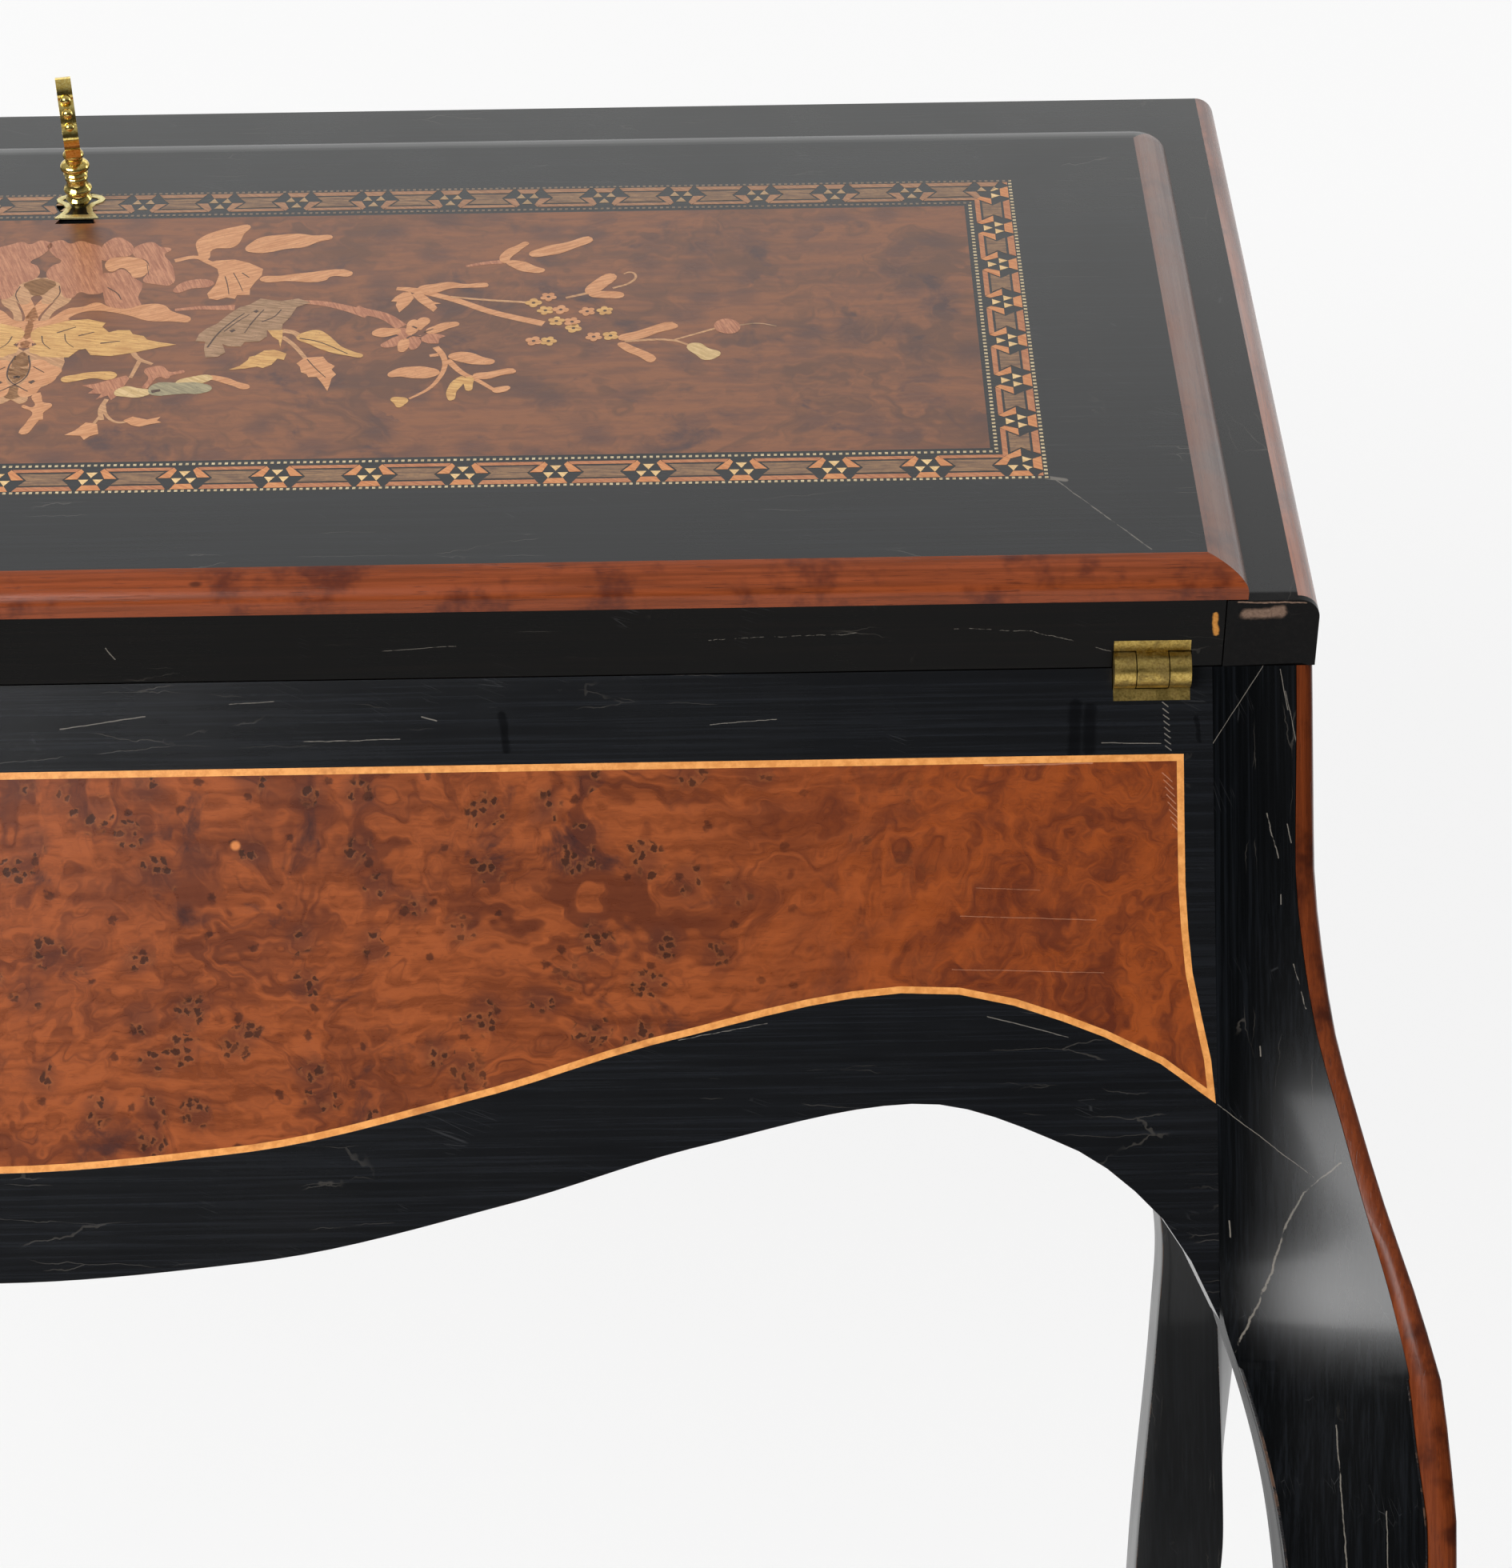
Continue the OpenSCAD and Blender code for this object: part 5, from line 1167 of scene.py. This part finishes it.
veins = [
    (0.36, [(2.3, 127.6), (3.3, 123.6), (5.7, 120.4)]),
    (0.32, [(8.9, 128.4), (9.8, 124.4), (12.4, 121)]),
    (0.54, [(6.5, 129.1), (11.7, 132.2)]),
    (0.54, [(13, 127.3), (17.4, 129.2)]),
    (0.61, [(19.9, 123.1), (25.5, 124.1)]),
    (0.36, [(-7.8, 155.3), (-8.5, 150.9), (-7.1, 146.4)]),
    (0.50, [(-0.1, 117.1), (1.1, 110.2), (0.1, 104.5), (-3.9, 100.1), (-6.2, 98.1)]),
    (0.41, [(2, 111.2), (5.6, 107.9)]),
    (1.52, [(2.1, 102.5), (3.3, 103.7)]),
    (1.14, [(-2.9, 105.5), (-1.6, 106.1)]),
    (1.63, [(37.6, 96.9), (40.1, 97.7)]),
    (0.41, [(18.4, 153.9), (21.7, 150.3), (23.2, 146.9)]),
    (0.20, [(28.6, 166.8), (29.8, 160.5)]),
    (0.32, [(52.7, 159.1), (53.9, 154.2), (54.8, 149)]),
    (0.28, [(55, 161.1), (56.9, 156.2), (58.7, 150.7)]),
    (0.41, [(57.6, 161), (60, 158.2)]),
    (0.58, [(51.3, 119.9), (53.9, 127.8), (57.6, 134.3), (60.4, 138.3)]),
    (0.45, [(55.3, 128.4), (58.7, 133.6), (61.9, 137.6)]),
    (0.50, [(62.5, 131.5), (64.8, 137.5), (66, 140.2)]),
    (1.49, [(63.3, 138.8), (64.2, 139.7)]),
    (1.46, [(57.2, 128.3), (58.4, 129.3)]),
    (0.36, [(61.4, 127.5), (62.8, 132.2)]),
    (0.51, [(65.9, 133.4), (69.2, 136), (71.1, 140)]),
    (0.36, [(80.8, 112.8), (83.6, 107.9), (86.9, 102.9)]),
    (0.50, [(77.7, 124.1), (82.9, 122.3), (92.3, 115.4)]),
    (2.12, [(110.7, 128.9), (111.1, 129.4)]),
    (0.61, [(108.9, 123.1), (110.2, 124.4), (113.1, 124)]),
    (0.51, [(113.7, 126.3), (116.4, 128.2)]),
]
cuts = {}


def let_in(tone, piece, lift):
    """Collects an inlaid piece by its wood, at its own small height."""
    piece.data.transform(Matrix.Translation((0, 0, lift)))
    cuts.setdefault(tone, []).append(piece)


def through(points, handles, steps):
    """A flat curve through its points, and its line."""
    drawn = bpy.data.curves.new("cut", "CURVE")
    drawn.dimensions, drawn.resolution_u = "2D", steps
    line = drawn.splines.new("BEZIER")
    line.bezier_points.add(len(points) - 1)
    for knot, (across, up) in zip(line.bezier_points, points):
        knot.co = (across, up, 0)
        knot.handle_left_type = knot.handle_right_type = handles
    return drawn, line


def cut_outline(tone, kind, points, lift):
    """A leaf or petal, cut along a closed outline."""
    drawn, line = through(points, "AUTO" if kind == "round" else "VECTOR", 5)
    drawn.fill_mode = "BOTH"
    line.use_cyclic_u = True
    let_in(tone, piece_of(drawn), lift)


def cut_strip(tone, points, root, tip, lift):
    """A stem or a knife line: a thin ribbon through its points that narrows from root to tip."""
    run = piece_of(through(points, "AUTO", 6)[0])
    centre = [spot.co.xy.copy() for spot in run.data.vertices]
    last = len(centre) - 1
    mesh = bmesh.new()
    rows = []
    for i, spot in enumerate(centre):
        aim = (centre[min(i + 1, last)] - centre[max(i - 1, 0)]).normalized()
        wide = (root + (tip - root) * i / last) / 2
        reach = Vector((-aim.y, aim.x)) * wide
        rows.append([mesh.verts.new((spot + side * reach).to_3d()) for side in (1, -1)])
    for first, second in zip(rows, rows[1:]):
        mesh.faces.new((first[1], second[1], second[0], first[0]))
    mesh.to_mesh(run.data)
    mesh.free()
    let_in(tone, run, lift)


# Stems lie lowest, then leaves, petals, the hearts of blossoms and knife lines, a hair apart, so that
# the upper veneer shows where two cross.
stem_lift, leaf_lift, petal_lift, heart_lift, vein_lift = 0.02, 0.03, 0.056, 0.064, 0.066
for order, (tone, kind, points) in enumerate(outlines):
    cut_outline(tone, kind, points, leaf_lift + 0.0004 * order)
for order, (tone, root, tip, points) in enumerate(stems):
    cut_strip(tone, points, root, tip, stem_lift + 0.0003 * order)
for width, points in veins:
    cut_strip("vein", points, width, width * 0.7, vein_lift)
for order, (across, up) in enumerate(blossoms):
    petals = 5 if order % 3 else 4
    ring = []
    for i in range(petals * 6):
        angle = 2 * pi * i / (petals * 6) + order
        reach = 1.75 + 0.75 * abs(cos(angle * petals / 2 - order * petals / 2))
        ring.append((across + reach * cos(angle), up + reach * sin(angle)))
    cut_outline("peach" if order % 2 else "gold", "round", ring, petal_lift)
    heart = [(across + 0.55 * cos(a * pi / 3), up + 0.55 * sin(a * pi / 3)) for a in range(6)]
    cut_outline("vein", "round", heart, heart_lift)
for tone, pieces in cuts.items():
    only_selected(*pieces)
    bpy.ops.object.join()
    right = bpy.context.object
    right.name = "spray_" + tone
    right.data.materials.clear()
    right.data.materials.append(spray_woods[tone])
    for face in right.data.polygons:
        face.material_index = 0
    left = bpy.data.objects.new("spray_left_" + tone, right.data.copy())
    bpy.context.scene.collection.objects.link(left)
    left.data.transform(Matrix.Translation((-4, 0, 0)) @ Matrix.Scale(-1, 4, (1, 0, 0)))
    for piece in (right, left):
        only_selected(piece)
        bpy.ops.object.mode_set(mode="EDIT")
        bpy.ops.mesh.select_all(action="SELECT")
        bpy.ops.mesh.dissolve_degenerate(threshold=0.001)
        bpy.ops.mesh.select_all(action="SELECT")
        bpy.ops.mesh.normals_make_consistent(inside=False)
        bpy.ops.object.mode_set(mode="OBJECT")
        if sum(face.normal.z * face.area for face in piece.data.polygons) < 0:
            piece.data.flip_normals()
        on_slope(piece)
        hand_over(piece, "lid")


# Two strap hinges of yellow brass join the lid to the front apron, each with three knuckles on an iron
# pin. They are dull with age and tarnished dark in patches.
def metal_figure(tree, given):
    """Where the metal has gone dull, and its fine uneven surface."""
    dull = fade(tree, cloud(tree, given["Vector"], 0.22, 5.0, 0.65, 0.3), 0.42, 0.66)
    return {"Dull": dull, "Fine": cloud(tree, given["Vector"], 1.6, 3.0, 0.6)}


old_metal = recipe("old_metal", {}, metal_figure)


def brass(name, light, dark, tarnish, rough_low, rough_high, dark_share=0.6):
    """Cast brass between two tones, tarnished in patches."""
    made, tree = finish(name)
    place = stretched(tree, wire(tree, "ShaderNodeTexCoord").outputs["Object"], 1000, 1000, 1000)
    figure = apply(tree, old_metal, vector=place)
    cover = times(tree, figure["Dull"], dark_share)
    colour = stain(tree, fade(tree, figure["Fine"], 0.35, 0.7), paint(light), paint(dark))
    colour = stain(tree, cover, colour, paint(tarnish))
    rough = sum_of(tree, "MULTIPLY_ADD", cover, rough_high - rough_low, rough_low)
    metal = sum_of(tree, "MULTIPLY_ADD", cover, -0.35, 1.0)
    return varnish(made, colour, rough, (figure["Fine"], 0.25, 0.0001), metallic=metal)


aged = brass("aged_hinge_brass", "c8ac62", "a08442", "4a3a1c", 0.3, 0.6)
for side in ("left", "right"):
    timber("hinge_knuckles_" + side, "hinge_fixed_" + side, [aged], smooth=35)
    timber("hinge_strap_" + side, "hinge_leaf_" + side, [aged], body="lid", smooth=35)
dress(brass("hinge_pin_metal", "8a7a58", "5a4c30", "2a2216", 0.35, 0.6), "hinge_pins")

# The lock is a cut brass box let into the lid, with a brass bolt and strike. The keyhole has a thin
# frame of pale brass round its opening, which is a flat black sheet: painted shade of the hole.
lock_brass = brass("lock_brass", "c0a060", "9a7c40", "5a4424", 0.3, 0.55)
dress(lock_brass, "lock_case", "strike_plate")
dress(brass("bolt_brass", "d0b070", "a88a4c", "6a5430", 0.22, 0.45), "lock_bolt")
pale_brass = brass("escutcheon_brass", "f4e8b0", "dcc888", "9a844c", 0.42, 0.6, 0.25)
well_shade_paint = inlay_wood("keyhole_painted_shade", "040404", "0a0908", 0.5)
half_frame = [(3.5, 6.9), (6.2, 5.8), (7.4, 4.1), (6.9, 2.4), (4.9, 0.8), (3.9, -1.0), (4.5, -3.6), (6.5, -7.1)]
half_inner = [(3.0, 5.2), (4.9, 4.4), (5.7, 3.6), (5.2, 2.8), (3.4, 1.5), (2.3, -0.8), (2.9, -3.6), (4.0, -5.5)]
key_x, key_s, frame_drop = 4.0, 203.0, 1.5


def both_halves(top, half):
    """The whole outline of the keyhole frame, from its top and its right half, at the lock."""
    whole = [(0, top)] + half + [(-u, v) for u, v in reversed(half)]
    return [(u + key_x, v + key_s - frame_drop) for u, v in whole]


inner_line = both_halves(5.6, half_inner)
drawn = closed_lines("keyhole_frame", [both_halves(7.3, half_frame), inner_line])
drawn.extrude, drawn.bevel_depth = 0.22, 0.12
frame_piece = piece_of(drawn, pale_brass)
bpy.ops.object.shade_smooth_by_angle(angle=radians(40))
on_slope(frame_piece, face_level)
hand_over(frame_piece, "lid", "escutcheon")
# The opening is a flat black sheet: painted shade of the hole.
well = piece_of(closed_lines("keyhole_well", [inner_line]), well_shade_paint)
on_slope(well, face_level + 0.1)
hand_over(well, "lid")

# The key is cast and gilt, its shaft turned with beads and its bow pierced with scrolls. Pearls
# run round the bow, and the key has been left a little turned in the lock.
gilt = brass("gilt_key", "f0da86", "d4b050", "5a4010", 0.1, 0.3, 0.35)
at_bow = lambda middle: (slope_place.inverted() @ middle).z > 0.048
key_piece = timber(
    "gilt_key_piece", "key", [gilt], body="key", ease=0.0009, keep=at_bow, smooth=40
)
key_piece.data.transform(Matrix.Scale(1000, 4) @ slope_place.inverted())
shaft_beads = [(2.4, 2.7, 1.1), (5.6, 4.3, 1.9), (9.3, 3.5, 1.7), (13.3, 4.5, 2.2), (17.2, 3.2, 1.9)]
beads = []
for rise, width, height in shaft_beads:
    place = (key_x, key_s, face_level + rise)
    bpy.ops.mesh.primitive_uv_sphere_add(segments=32, ring_count=16, radius=1, location=place)
    bpy.context.object.scale = (width, width, height)
    beads.append(bpy.context.object)
bow_level, pearl_ring, pearl_radius, pearl_places = face_level + 31.0, 9.3, 1.65, 14
for step in range(pearl_places):
    turn = radians(-80 + 360 / pearl_places * step)
    if sin(turn) < -0.9:
        continue
    place = (key_x, key_s + pearl_ring * cos(turn), bow_level + pearl_ring * sin(turn))
    bpy.ops.mesh.primitive_uv_sphere_add(segments=24, ring_count=12, radius=pearl_radius, location=place)
    beads.append(bpy.context.object)
only_selected(*beads)
bpy.ops.object.transform_apply(location=True, rotation=True, scale=True)
for bead in beads:
    bead.data.materials.append(gilt)
only_selected(key_piece, *beads)
bpy.ops.object.join()
bpy.ops.object.shade_smooth_by_angle(angle=radians(40))
at_key = Matrix.Translation((key_x, key_s, 0))
key_piece.data.transform(at_key @ Matrix.Rotation(radians(11), 4, "Z") @ at_key.inverted())
on_slope(key_piece, 0)

# Inside, the writing surface is lined with tooled leather and the nest is of mahogany, with three
# drawers. A panel slides back over a well behind the writing board.
dress(stained_timber("nest_mahogany", "across", "8a4c28", "5e3018", 0.32), "nest_floor", "nest_shelf")
end_wood = stained_timber("nest_end_mahogany", "back", "8a4c28", "5e3018", 0.32)
for side in ("left", "right"):
    dress(end_wood, "nest_end_" + side, "drawer_divider_" + side, "letter_divider_" + side)
dress(stained_timber("deck_mahogany", "top", "7a4224", "522a16", 0.3), "writing_board", "well_panel")
knob_bone, tree = finish("turned_bone")
mottled = cloud(tree, laid(tree, "across"), 0.4, 4.0)
bone_colour = stain(tree, fade(tree, mottled, 0.4, 0.7), paint("eee2c8"), paint("cbb48a"))
varnish(knob_bone, bone_colour, sum_of(tree, "MULTIPLY_ADD", mottled, 0.2, 0.2))
cedar = stained_timber("drawer_cedar", "back", "c09a6a", "94703f", 0.6)
drawer_burr = burr_veneer("drawer_burr", "across", "a85c30", "8c4a28", "6a3420")
for made, part in ((cedar, "drawer_box_"), (drawer_burr, "drawer_front_"), (knob_bone, "drawer_knob_")):
    dress(made, part + "1", part + "2", part + "3")

# The leather on the inside of the lid is pebbled and worn pale in places. Three gilt lines are
# tooled round it, and the gold has gone from parts of them.
lid_leather, tree = finish("tooled_leather_red")
place = laid(tree, "slope_across")
pebbles = cells_of(tree, place, 0.9)["Distance"]
worn = fade(tree, cloud(tree, place, 0.03, 5.0, 0.65), 0.38, 0.68)
colour = stain(tree, worn, paint("62241e"), paint("80402e"))
colour = stain(tree, fade(tree, pebbles, 0.3, 0.7, 0.0, 0.4), colour, paint("3c1612"))
lines = []
for inset, wide in ((7, 0.5), (9.5, 1.1), (12, 0.5)):
    right, low, high = 292.7 - inset, 32 + inset, 180 - inset
    corners = [(-right, low), (right, low), (right, high), (-right, high), (-right, low)]
    lines += [(*start, *end, wide, 0.05) for start, end in zip(corners, corners[1:])]
gold = fade(tree, cloud(tree, place, 0.25, 4.0), 0.36, 0.5, 0.25, 0.9)
colour = stain(tree, times(tree, scarred(tree, place, lines), gold), colour, paint("c29a4c"))
rough = sum_of(tree, "MULTIPLY_ADD", worn, 0.2, 0.35)
dress(varnish(lid_leather, colour, rough, (pebbles, 0.3, 0.0002)), "lid_leather")

# The lock is held by four countersunk brass screws through the corners of its case. Each is driven
# home at its own angle, and each slot is a thin dark strip on the head: painted shade of the slot.
case_points = [1000 * (slope_place.inverted() @ point.co) for point in nodes["lock_case"].data.vertices]
case_x = [min(point.x for point in case_points) + 5, max(point.x for point in case_points) - 5]
case_s = [min(point.y for point in case_points) + 5, max(point.y for point in case_points) - 5]
slot_shade_paint = inlay_wood("screw_slot_painted_shade", "140f08", "201810", 0.5)
for number, turn in enumerate((20, 75, 130, -15)):
    u, v = case_x[number % 2], case_s[number // 2]
    bpy.ops.mesh.primitive_cylinder_add(vertices=32, radius=2.3, depth=0.3, location=(u, v, -0.08))
    screw = bpy.context.object
    screw.name = "lock_screw_%d" % (number + 1)
    screw.data.materials.append(lock_brass)
    # The slot is a flat dark strip: painted shade of its depth.
    bpy.ops.mesh.primitive_cube_add(size=1, location=(u, v, -0.24))
    slot = bpy.context.object
    slot.scale = (4.2, 0.6, 0.04)
    slot.rotation_euler = (0, 0, radians(turn))
    slot.data.materials.append(slot_shade_paint)
    only_selected(screw, slot)
    bpy.ops.object.transform_apply(location=True, rotation=True, scale=True)
    bpy.ops.object.join()
    on_slope(screw, 0)
    hand_over(screw, "lid")
